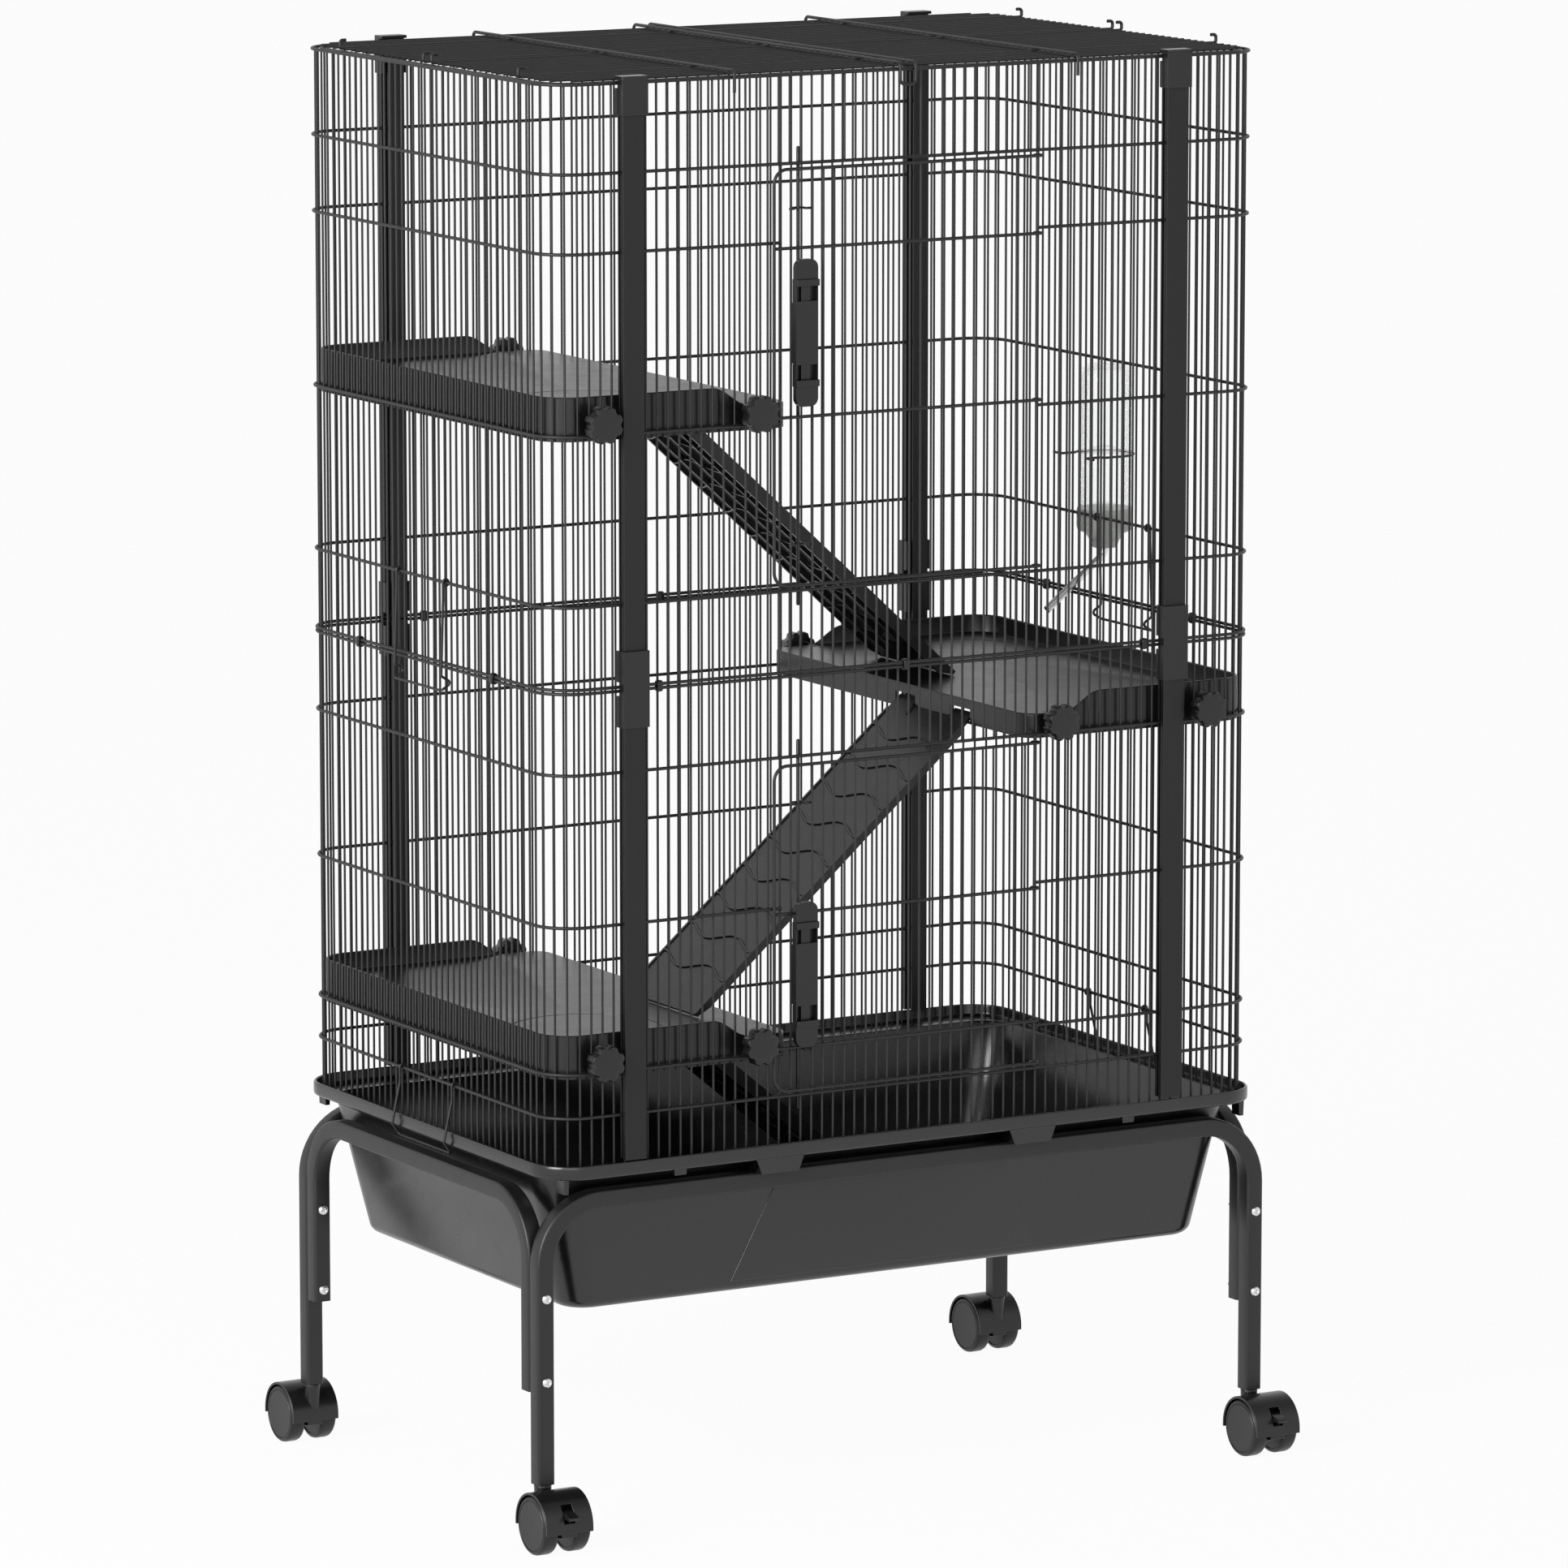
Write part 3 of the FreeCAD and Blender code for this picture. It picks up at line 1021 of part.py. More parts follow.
def wheel_pair(label, spot, turn):
    """Two wheels pressed on the ends of one axle."""
    members = []

    def is_rim(edge):
        return isinstance(edge.Curve, Part.Circle) and abs(edge.Curve.Radius - wheel_level) < tiny

    for sign in ("", "-"):
        wheel = new_body("wheel")
        middle = f"{sign}(wheel_inner + wheel_width/2)"
        disc = draw_circle(wheel, "YZ_Plane", "0", "0", wheel_radius, middle)
        pad(wheel, disc, "wheel_width", both=True)
        round_edges(wheel, "wheel_round", is_rim)
        hole = draw_circle(wheel, "YZ_Plane", "0", "0", "axle_diameter/2 + axle_gap")
        pocket(wheel, hole, "wheel_inner + wheel_width - axle_inset", back=not sign)
        wheel.Placement = Placement(spot, turn)
        members.append(wheel)
    axle = new_body("axle")
    round_bar = draw_circle(axle, "YZ_Plane", "0", "0", "axle_diameter/2")
    pad(axle, round_bar, f"{hood_width} - 2*axle_inset - 2*axle_gap", both=True)
    axle.Placement = Placement(spot, turn)
    return group(label, members + [axle])


def brake_lever(label, spot, turn):
    """A rocking tab on a cross pin, its tip outside the hood."""
    body = new_body(label)
    inner, outer = "-lever_pin_out + lever_half", "-lever_pin_out - lever_half"
    tip = "-lever_pin_out - lever_reach"
    outline = [
        (outer, "lever_pin_up - lever_half"), (tip, "lever_pin_up - lever_tip_drop"),
        (tip, "lever_pin_up + lever_tip - lever_tip_drop"), (outer, "lever_pin_up + lever_half"),
        (inner, "lever_pin_up + lever_half"), (inner, "lever_pin_up - lever_half"),
    ]
    pad(body, draw(body, "YZ_Plane", outline), "lever_width", both=True)
    pin = draw_circle(body, "YZ_Plane", "-lever_pin_out", "lever_pin_up", "lever_pin/2")
    pad(body, pin, "hood_web - 2*lever_gap", both=True)
    body.Placement = Placement(spot, turn)
    return body


trail = number("caster_trail")
for row, back in (("front", False), ("back", True)):
    for side, across in (("left", -leg_x), ("right", leg_x)):
        spot = Vector(across, (leg_y + trail) * (1 if back else -1), wheel_level)
        turn = HALF_TURN if back else Rotation()
        nodes.append(hood(f"{row}_{side}_caster_hood", spot, turn, not back))
        nodes.append(wheel_pair(f"{row}_{side}_wheels", spot, turn))
        if not back:
            nodes.append(brake_lever(f"{row}_{side}_brake_lever", spot, turn))

# Water bottle outside the right end, upside down, its tube reaching in between two bars
bottle_radius = number("bottle_diameter/2")
bottle_x = number("cage_length/2 + bottle_gap") + number("cap_diameter/2")
bottle_depth = -midway(side_rows, -number("bottle_from_middle"))
neck = sill + number("bottle_above_sill")
axis_up = Vector(0, 0, 1)


def lathe(profile, across, depth):
    """A round solid from (radius, level) corners about an upright axis."""
    wire = Part.makePolygon([Vector(r, 0, z) for r, z in profile + profile[:1]])
    shape = Part.Face(wire).revolve(Vector(), axis_up, 360)
    shape.translate(Vector(across, depth, 0))
    return shape


bottle_top, glass = neck + number("bottle_height"), number("bottle_wall")
shell = [(0, bottle_top), (bottle_radius, bottle_top), (bottle_radius, neck), (bottle_radius - glass, neck)]
shell += [(bottle_radius - glass, bottle_top - glass), (0, bottle_top - glass)]
nodes.append(solid_node("water_bottle", [lathe(shell, bottle_x, bottle_depth)]))
cap_radius, cap_top = number("cap_diameter/2"), neck - number("cap_neck_gap")
cap_low, cone_low = neck - number("cap_length"), neck - number("cap_length + cone_length")
spout_hole = number("spout_diameter/2 + spout_fit")
cap_profile = [(spout_hole, cap_top), (cap_radius, cap_top), (cap_radius, cap_low)]
cap_profile += [(number("cone_diameter/2"), cone_low), (spout_hole, cone_low)]
cap_shape = lathe(cap_profile, bottle_x, bottle_depth)
spout_knee = Vector(bottle_x, bottle_depth, cone_low - number("spout_neck"))
spout_end = spout_knee - Vector(number("spout_reach"), 0, number("spout_drop"))
spout_points = [Vector(bottle_x, bottle_depth, cap_low), spout_knee, spout_end]
spout = bent_wire(spout_points, number("spout_bend"), number("spout_diameter"))
spout_bore = bent_wire(spout_points, number("spout_bend"), number("spout_diameter - 2*spout_wall"))
nodes.append(solid_node("bottle_cap", [cap_shape, spout.cut(spout_bore)]))

# Wire bracket: a loop round the bottle whose two ends hook behind bars of the end panel
bracket_level = neck + number("bracket_height")
loop = bottle_radius + number("bracket_gap + bracket_wire/2")
behind = bar_x - number("bar_wire/2 + bracket_gap + bracket_wire/2")
leg = number("2*bar_pitch")
tip, jog_end = leg + number("bracket_tip"), number("cage_length/2 + bracket_jog")
jog_start = jog_end - (loop - leg)
front_half = [(behind, -tip), (behind, -leg), (jog_start, -leg), (jog_end, -loop), (bottle_x + loop, -loop)]
loop_spots = front_half + [(x, -y) for x, y in reversed(front_half)]
loop_points = [Vector(x, bottle_depth + y, bracket_level) for x, y in loop_spots]
small, large = number("bracket_bend"), loop - number("bracket_gap")
loop_bends = [small, small, small, large, large, small, small, small]
nodes.append(solid_node("bottle_bracket", [bent_wire(loop_points, loop_bends, number("bracket_wire"))]))

# Wire latches at the ends: eyes round a hoop, legs down the outside
latch_wire = number("latch_wire")
latch_eye = number("hoop_wire/2 + end_latch_gap + latch_wire/2")


def end_eye(depth, level):
    """The arc of a latch leg's upper end round a hoop of the left panel, ending where the leg goes down."""

    def spot(turn):
        angle = math.pi - turn
        return Vector(-hoop_x + latch_eye * math.cos(angle), depth, level + latch_eye * math.sin(angle))

    return Part.Arc(spot(EYE_TURN), spot(EYE_TURN / 2), spot(0)).toShape()


def end_latch(label, level, span, leg_points, bend, right):
    """One wire: eye, leg, cross bar, leg and eye, for the left end or turned to the right one."""
    low_row, high_row = midway(side_rows, -span / 2), midway(side_rows, span / 2)
    start = Vector(-hoop_x - latch_eye, 0, level)
    down = [start] + [Vector(-hoop_x - latch_eye - out, 0, level - drop) for out, drop in leg_points]
    legs = [[Vector(spot.x, row, spot.z) for spot in down] for row in (low_row, high_row)]
    edges = bent_edges(legs[0] + legs[1][::-1], bend)
    shape = swept([end_eye(low_row, level), *edges, end_eye(high_row, level)], latch_wire)
    return solid_node(label, [turned(shape) if right else shape])


tier_leg = [
    (0, number("latch_lead")),
    (number("tier_latch_splay"), number("tier_latch_drop")),
    (number("tier_latch_splay - tier_nib_reach"), number("tier_latch_drop + tier_nib_drop")),
    (number("tier_latch_splay"), number("tier_latch_drop + 2*tier_nib_drop")),
]
bail_leg = [
    (0, number("latch_lead")),
    (number("bail_splay"), number("bail_drop")),
    (number("bail_splay - bail_tuck"), number("bail_drop + bail_tuck_drop")),
]
for side, right in (("left", False), ("right", True)):
    tier_span, bail_span = number("tier_latch_span"), number("bail_span")
    nodes.append(end_latch(f"{side}_tier_latch", sill, tier_span, tier_leg, number("tier_latch_bend"), right))
    nodes.append(end_latch(f"{side}_tray_bail", guard, bail_span, bail_leg, number("bail_bend"), right))

# Check every object, then write one file for each node
doc.recompute()
for item in doc.Objects:
    if "Invalid" in item.State or "Error" in item.State:
        raise ValueError(f"{item.Label} did not rebuild")
os.makedirs("parts", exist_ok=True)
for node in nodes:
    if node.Shape.isNull() or not node.Shape.isValid():
        raise ValueError(f"{node.Label} has no valid shape")
    node.Shape.exportStep(f"parts/{node.Label}.step")
print(len(nodes), "nodes")
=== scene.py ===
import math

import bmesh
import bpy
import mathutils
import numpy as np
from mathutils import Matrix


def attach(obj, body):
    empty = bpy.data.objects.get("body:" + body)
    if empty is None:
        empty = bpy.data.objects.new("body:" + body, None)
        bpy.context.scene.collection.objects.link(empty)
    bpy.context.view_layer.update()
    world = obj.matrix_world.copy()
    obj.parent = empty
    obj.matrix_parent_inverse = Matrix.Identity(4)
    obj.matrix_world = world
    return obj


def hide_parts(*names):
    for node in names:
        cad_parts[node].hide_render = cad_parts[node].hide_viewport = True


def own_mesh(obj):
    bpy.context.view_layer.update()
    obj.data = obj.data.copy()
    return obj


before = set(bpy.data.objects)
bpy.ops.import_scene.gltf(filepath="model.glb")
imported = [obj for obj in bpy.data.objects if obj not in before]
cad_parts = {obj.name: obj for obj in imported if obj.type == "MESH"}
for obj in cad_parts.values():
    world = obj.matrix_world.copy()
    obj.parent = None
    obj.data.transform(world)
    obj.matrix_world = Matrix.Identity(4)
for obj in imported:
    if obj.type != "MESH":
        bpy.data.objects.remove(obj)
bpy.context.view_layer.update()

# Casters: four twin-wheel furniture casters of black moulded plastic. Each has a hood over both
# wheels, a web that carries the axle, and a steel stem in the leg; the front two have a brake tab.


def sheet(points, wrap=False):
    """Quads over a grid of points: each joins its right and lower neighbours; wrap closes the rows."""
    rows, columns = points.shape[:2]
    index = np.arange(rows * columns).reshape(rows, columns)
    if wrap:
        index = np.concatenate([index, index[:, :1]], axis=1)
    corners = [index[:-1, :-1], index[:-1, 1:], index[1:, 1:], index[1:, :-1]]
    return points.reshape(-1, 3), np.stack(corners, axis=-1).reshape(-1, 4).tolist()


def stack(rings, ends=(True, True)):
    """Closed rings of points, each joined to the next, with flat faces on the first and last."""
    points, faces = sheet(rings, wrap=True)
    count = rings.shape[1]
    if ends[0]:
        faces.append(list(range(count))[::-1])
    if ends[1]:
        faces.append(list(range(len(points) - count, len(points))))
    return points, faces


def lathe(profile, turns=40, open_ends=False):
    """Rings about Z from (radius, height) pairs: each pair is swept through a full turn."""
    profile = np.asarray(profile, float)
    angle = np.linspace(0, 2 * np.pi, turns, endpoint=False)
    radius, height = profile[:, :1], profile[:, 1:]
    flat = np.broadcast_to(height, (len(profile), turns))
    rings = np.stack([radius * np.cos(angle), radius * np.sin(angle), flat], axis=-1)
    return stack(rings, (not open_ends, not open_ends))


def thick(outer, inner, keep, wrap=False):
    """Two sheets of the same grid with walls between them wherever a kept cell meets a cut one or the edge."""
    rows, columns = outer.shape[:2]
    index = np.arange(rows * columns).reshape(rows, columns)
    if wrap:
        index = np.concatenate([index, index[:, :1]], axis=1)
    a, b, c, d = index[:-1, :-1], index[:-1, 1:], index[1:, 1:], index[1:, :-1]
    top = np.stack([a, b, c, d], axis=-1)[keep]
    shift = rows * columns
    kept = np.pad(keep, 1)
    if wrap:
        kept[:, 0], kept[:, -1] = kept[:, -2], kept[:, 1]
    walls = []
    above, right, below, left = kept[:-2, 1:-1], kept[1:-1, 2:], kept[2:, 1:-1], kept[1:-1, :-2]
    for start, end, beside in ((a, b, above), (b, c, right), (c, d, below), (d, a, left)):
        edge = keep & ~beside
        walls.append(np.stack([end, start, start + shift, end + shift], axis=-1)[edge])
    points = np.concatenate([outer.reshape(-1, 3), inner.reshape(-1, 3)])
    return points, np.concatenate([top, top[:, ::-1] + shift, *walls]).tolist()


def moved(form, shift=(0, 0, 0), turn=None):
    """The form turned by a 3 by 3 matrix and then shifted."""
    points, faces = form
    if turn is not None:
        points = points @ np.asarray(turn, float).T
    return points + np.asarray(shift, float), faces


HALF_TURN = np.diag([-1.0, -1.0, 1.0])
ALONG_X = np.array([[0.0, 0, 1], [1, 0, 0], [0, 1, 0]])
TO_BACK = np.array([[1.0, 0, 0], [0, 0, 1], [0, -1, 0]])
TO_FRONT = np.array([[1.0, 0, 0], [0, 0, -1], [0, 1, 0]])


def put(name, forms, body, slot, finish, *nodes, bevel=0.0, crease=40):
    """One object from forms in millimetres: doubles merged, faces turned outwards, riding on its body."""
    points, faces, count = [], [], 0
    for part_points, part_faces in forms:
        points.append(part_points)
        faces += [[corner + count for corner in face] for face in part_faces]
        count += len(part_points)
    mesh = bpy.data.meshes.new(name)
    mesh.from_pydata(np.concatenate(points) * 0.001, [], faces)
    work = bmesh.new()
    work.from_mesh(mesh)
    bmesh.ops.remove_doubles(work, verts=work.verts, dist=1e-6)
    loose = [vert for vert in work.verts if not vert.link_faces]
    bmesh.ops.delete(work, geom=loose, context="VERTS")
    bmesh.ops.recalc_face_normals(work, faces=work.faces)
    work.to_mesh(mesh)
    work.free()
    mesh.shade_smooth()
    mesh.set_sharp_from_angle(angle=math.radians(crease))
    piece = bpy.data.objects.new(name, mesh)
    bpy.context.scene.collection.objects.link(piece)
    if bevel:
        rounder = piece.modifiers.new("edges", "BEVEL")
        rounder.width = bevel * 0.001
        rounder.segments = 2
        rounder.limit_method = "ANGLE"
        rounder.angle_limit = math.radians(35)
        rounder.harden_normals = True
    mesh.materials.append(finish)
    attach(piece, body)
    if nodes:
        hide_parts(*nodes)
    return piece


class Link:
    """One socket of a finish. Sums and products of links and numbers make Math nodes."""

    def __init__(self, tree, socket):
        self.tree, self.socket = tree, socket

    def node(self, kind, inputs, out=0, **settings):
        """Adds a node of the kind, sets its settings, then fills its inputs with links or values."""
        made = self.tree.nodes.new(kind)
        for key, value in settings.items():
            setattr(made, key, value)
        for key, value in inputs.items():
            if isinstance(value, Link):
                self.tree.links.new(value.socket, made.inputs[key])
            else:
                made.inputs[key].default_value = value
        return Link(self.tree, made.outputs[out])

    def maths(self, operation, first, second):
        return self.node("ShaderNodeMath", {0: first, 1: second}, operation=operation)

    def __add__(self, other):
        return self.maths("ADD", self, other)

    __radd__ = __add__

    def __sub__(self, other):
        return self.maths("SUBTRACT", self, other)

    def __rsub__(self, other):
        return self.maths("SUBTRACT", other, self)

    def __mul__(self, other):
        return self.maths("MULTIPLY", self, other)

    def noise(self, scale, detail=3.0, rough=0.55):
        inputs = {"Vector": self, "Scale": scale, "Detail": detail, "Roughness": rough}
        return self.node("ShaderNodeTexNoise", inputs)

    def blend(self, low, high):
        """A colour between two tones, by this value."""
        inputs = {"Factor": self, "A": (*low, 1), "B": (*high, 1)}
        return self.node("ShaderNodeMix", inputs, out="Result", data_type="RGBA")

    def bump(self, strength, depth):
        return self.node("ShaderNodeBump", {"Height": self, "Strength": strength, "Distance": depth})


def blank(name):
    """A new material and a link to its object coordinates."""
    finish = bpy.data.materials.new(name)
    finish.use_nodes = True
    tree = finish.node_tree
    return finish, Link(tree, tree.nodes.new("ShaderNodeTexCoord").outputs["Object"])


def fill(finish, **sockets):
    """Sets or links the sockets of the material's own shader."""
    shader = finish.node_tree.nodes["Principled BSDF"]
    for key, value in sockets.items():
        socket = shader.inputs[key.replace("_", " ")]
        if isinstance(value, Link):
            finish.node_tree.links.new(value.socket, socket)
        else:
            socket.default_value = value
    return finish


def moulded(name, low, high, rough, grain, depth, gloss=0.5):
    """Moulded plastic: slow cloudy tone, fine spark-eroded grain in bump, rubbed patches in roughness."""
    finish, where = blank(name)
    cloud = where.noise(9.0, 4.0)
    speck = where.noise(grain, 2.0)
    rubbed = where.noise(38.0, 5.0, 0.65)
    return fill(
        finish, Base_Color=cloud.blend(low, high), Roughness=rough + rubbed * 0.16 + speck * 0.06 - 0.1,
        Normal=speck.bump(0.35, depth), Specular_IOR_Level=gloss,
    )


hood_tones = (0.004, 0.004, 0.0045), (0.008, 0.008, 0.0085)
wheel_tones = (0.006, 0.006, 0.0065), (0.011, 0.011, 0.0115)
caster_plastic = moulded("caster_plastic", *hood_tones, rough=0.26, grain=1400.0, depth=0.00004)
wheel_plastic = moulded("wheel_plastic", *wheel_tones, rough=0.36, grain=900.0, depth=0.00006, gloss=0.38)
AXLE_UP, LEG_X, LEG_Y, TRAIL = 28.5, 399.0, 242.0, 23.0
HOOD_OUT, HOOD_IN, HOOD_HALF, SKIRT = 31.9, 29.5, 25.1, 4.0
SLOT_HALF, SLOT_LOW, SLOT_HIGH = 5.8, 6.0, 23.0


def hood_cover(braked):
    """Half drum about the axle with straight skirts: radius times (-cos, sin) of the angle from the front."""
    low, high = np.arcsin(SLOT_LOW / HOOD_OUT), np.arcsin(SLOT_HIGH / HOOD_OUT)
    below, beside, above = np.linspace(0, low, 4), np.linspace(low, high, 9), np.linspace(high, np.pi, 30)
    angle = np.concatenate([below, beside[1:], above[1:]])
    side = np.concatenate([np.linspace(-HOOD_HALF, -SLOT_HALF, 6), np.linspace(SLOT_HALF, HOOD_HALF, 6)])

    def drum(radius):
        depth = np.concatenate([[-radius], -radius * np.cos(angle), [radius]])
        height = np.concatenate([[-SKIRT], radius * np.sin(angle), [-SKIRT]])
        return np.stack(np.broadcast_arrays(side[None, :], depth[:, None], height[:, None]), axis=-1)

    keep = np.ones((len(angle) + 1, len(side) - 1), bool)
    if braked:
        keep[4:12, 5] = False
    return thick(drum(HOOD_OUT), drum(HOOD_IN), keep)


def slab(outline, half, along=ALONG_X):
    """An outline of (across, up) points drawn half each way along an axis."""
    outline = np.asarray(outline, float)
    low = np.column_stack([outline, np.full(len(outline), -half)])
    rings = np.stack([low, low * [1, 1, -1]])
    return moved(stack(rings), turn=along)


def hood_web(braked):
    """Half disc between the wheels with a pocket for the brake tab at the front."""
    angle = np.linspace(0, np.pi, 25)
    radius = HOOD_IN + 1.0
    arc = np.column_stack([-radius * np.cos(angle), radius * np.sin(angle)])
    if braked:
        pocket = [[-27, SLOT_LOW], [-14, SLOT_LOW], [-14, SLOT_HIGH], [-19, SLOT_HIGH]]
        arc = np.concatenate([arc[:1], pocket, arc[arc[:, 1] > SLOT_HIGH], arc[-4:]])
    foot = [[radius, -8.0], [9.0, -12.0], [-9.0, -12.0], [-radius, -8.0]]
    return slab(np.concatenate([arc, foot]), 8.5)


boss_profile = [
    (0, 7), (7.2, 7), (8.0, 9), (8.4, 30), (8.5, 32.4), (8.0, 33.2), (5.5, 33.2), (5.5, 70.5), (4.8, 71.2),
    (0, 71.2),
]
wheel_profile = [
    (0, 9.3), (12, 9.3), (13, 10.2), (24, 10.2), (25, 9.3), (26.6, 9.5), (27.9, 10.4), (28.5, 12.3), (28.5, 21.4),
    (28.1, 23.2), (27.0, 24.5), (25.6, 25.1), (24.9, 25.0), (24.5, 24.4), (24.0, 24.4), (23.5, 24.9),
    (12, 24.6), (0, 24.5),
]
tab_outline = [
    (-16.6, 10.6), (-16.6, 17.4), (-24.5, 17.4), (-27.5, 16.6), (-38.5, 13.8), (-39.8, 12.9), (-40.0, 11.0),
    (-38.8, 10.1), (-31.0, 10.0), (-25.5, 10.6),
]
for row in ("front", "back"):
    for side in ("left", "right"):
        place = f"{row}_{side}"
        turn = HALF_TURN if row == "back" else None
        facing = 1 if row == "back" else -1
        axle = (-LEG_X if side == "left" else LEG_X, facing * (LEG_Y + TRAIL), AXLE_UP)
        stem = moved(lathe(boss_profile, 28), (0, TRAIL, 0))
        hood = [hood_cover(row == "front"), hood_web(row == "front"), stem]
        hood = [moved(form, axle, turn) for form in hood]
        caster, hood_node = f"{place}_caster", f"{place}_caster_hood"
        put(f"{place}_hood", hood, caster, "caster_plastic", caster_plastic, hood_node, bevel=0.6)
        wheel = moved(lathe(wheel_profile, 56), turn=ALONG_X)
        far_wheel = moved(wheel, turn=np.diag([-1.0, 1.0, 1.0]))
        axle_rod = moved(lathe([(0, -12), (3, -12), (3, 12), (0, 12)], 16), turn=ALONG_X)
        pair = [moved(form, axle) for form in (wheel, far_wheel, axle_rod)]
        wheel_body, wheel_node = f"{place}_wheel_pair", f"{place}_wheels"
        put(f"{place}_wheel_set", pair, wheel_body, "wheel_plastic", wheel_plastic, wheel_node)
        if row == "front":
            pin = moved(lathe([(0, -8.2), (1.8, -8.2), (1.8, 8.2), (0, 8.2)], 16), (0, -20, 14), ALONG_X)
            tab = [moved(slab(tab_outline, 5.5), axle), moved(pin, axle)]
            lever, lever_node = f"{place}_lever", f"{place}_brake_lever"
            put(f"{place}_brake_tab", tab, lever, "caster_plastic", caster_plastic, lever_node, bevel=0.5)

# Stand: two long and two short arches bent from 18 mm square steel tube, black powder coat.
# The short arches stand inside the long ones and are bolted to their legs.


def carry(section, path, up, ends=(True, True)):
    """A section of (side, up) points carried along a path; side is the path's heading crossed with up."""
    heading = np.gradient(path, axis=0)
    heading /= np.linalg.norm(heading, axis=1, keepdims=True)
    up = np.broadcast_to(np.asarray(up, float), path.shape)
    side = np.cross(heading, up)
    side /= np.linalg.norm(side, axis=1, keepdims=True)
    top = np.cross(side, heading)
    sideways, upwards = section[None, :, :1] * side[:, None], section[None, :, 1:] * top[:, None]
    return stack(path[:, None] + sideways + upwards, ends)


def round_loop(half_x, half_y, radius, steps=6):
    """A rectangle with round corners, counter-clockwise: corner centres plus radius times (cos, sin)."""
    quarter = np.linspace(0, np.pi / 2, steps)
    angle = (np.arange(4)[:, None] * np.pi / 2 + quarter).ravel()
    quadrants = np.repeat([[1, 1], [-1, 1], [-1, -1], [1, -1]], steps, axis=0)
    centre = quadrants * [half_x - radius, half_y - radius]
    return centre + radius * np.column_stack([np.cos(angle), np.sin(angle)])


def arch_line(half, foot, top, bend, steps=14):
    """Leg, quarter bend, top run, quarter bend, leg, in the X-Z plane."""
    angle = np.linspace(0, np.pi / 2, steps)
    left = np.column_stack([-half + bend - bend * np.cos(angle), top - bend + bend * np.sin(angle)])
    legs = np.array([[-half, foot], [-half, foot + 1.0], [-half, top - bend - 2.0]])
    run = np.concatenate([legs, left, [[-half + bend + 2.0, top]]])
    line = np.concatenate([run, run[::-1] * [-1, 1]])
    return np.column_stack([line[:, 0], np.zeros(len(line)), line[:, 1]])


def powder(name, low, high, gloss=0.5):
    """Powder coat: tiny orange-peel bump, slight change of tone and of gloss."""
    finish, where = blank(name)
    peel = where.noise(700.0, 2.0)
    cloud = where.noise(6.0, 4.0)
    sheen = where.noise(55.0, 4.0)
    return fill(
        finish, Base_Color=cloud.blend(low, high), Roughness=0.34 + sheen * 0.14,
        Normal=peel.bump(0.4, 0.00006), Specular_IOR_Level=gloss,
    )


stand_paint = powder("stand_paint", (0.005, 0.005, 0.0055), (0.009, 0.009, 0.0095))
TUBE = round_loop(9.0, 9.0, 3.0)
ARCH_TOP, ARCH_BEND, LONG_FOOT, SHORT_FOOT, LEG_STEP = 333.0, 60.0, 62.0, 150.0, 18.2
long_line = arch_line(LEG_X, LONG_FOOT, ARCH_TOP, ARCH_BEND)
long_arches = [moved(carry(TUBE, long_line, (0, 1, 0)), (0, side * LEG_Y, 0)) for side in (-1, 1)]
put("long_arches", long_arches, "cage", "stand_paint", stand_paint, "long_stand_arches")
short_line = arch_line(LEG_Y - LEG_STEP, SHORT_FOOT, ARCH_TOP, ARCH_BEND)[:, [1, 0, 2]]
short_arches = [moved(carry(TUBE, short_line, (1, 0, 0)), (side * LEG_X, 0, 0)) for side in (-1, 1)]
put("short_arches", short_arches, "cage", "stand_paint", stand_paint, "short_stand_arches")

# Stand bolts: zinc-plated machine screws through each pair of legs, domed heads to the front,
# hexagonal nuts behind.


def zinc_plate(name):
    """Bright zinc: metal with a faint crystalline tone and scratches in its roughness."""
    finish, where = blank(name)
    flake = where.noise(420.0, 4.0)
    scratch = where.noise(1800.0, 2.0)
    return fill(
        finish, Base_Color=flake.blend((0.62, 0.62, 0.63), (0.82, 0.82, 0.83)), Metallic=1.0,
        Roughness=0.2 + scratch * 0.18, Normal=scratch.bump(0.2, 0.00003),
    )


zinc = zinc_plate("zinc")
head_profile = [
    (0, 1.0), (1.2, 1.0), (1.9, 2.7), (2.3, 3.1), (3.3, 2.9), (4.3, 2.2), (4.9, 1.2), (5.0, 0.3), (4.8, 0),
    (3.0, 0), (3.0, -43.2), (0, -43.2),
]
hexagon = np.arange(6) * np.pi / 3
nut_ring = 5.75 * np.column_stack([np.cos(hexagon), np.sin(hexagon)])
nut_heights, nut_shares = np.array([0, 0.5, 4.4, 4.9]), np.array([0.92, 1, 1, 0.92])
nut_flats = np.broadcast_to(nut_heights[:, None, None], (len(nut_heights), len(hexagon), 1))
nut = np.concatenate([nut_ring[None] * nut_shares[:, None, None], nut_flats], axis=-1)
fasteners = []
for across in (-LEG_X, LEG_X):
    for level in (162.0, 243.0):
        for head_y, nut_y in ((-251.05, -214.75), (214.75, 251.05)):
            fasteners.append(moved(lathe(head_profile, 24), (across, head_y, level), TO_FRONT))
            fasteners.append(moved(stack(nut), (across, nut_y, level), TO_BACK))
put("screws_and_nuts", fasteners, "cage", "zinc", zinc, "stand_bolts", crease=30)

# Base tray: one deep vacuum-formed tray of black plastic. A shelf with an upright lip carries the
# wire tower; hanging tabs and ribs stand on the tubes of the stand.


def tray_ring(half_x, half_y, radius, level):
    loop = round_loop(half_x, half_y, radius, 10)
    return np.column_stack([loop, np.full(len(loop), level)])


BIN_FLOOR, BIN_HEIGHT, BIN_HALF_Y, BIN_FLARE_Y = 219.0, 137.0, 217.0, 14.0


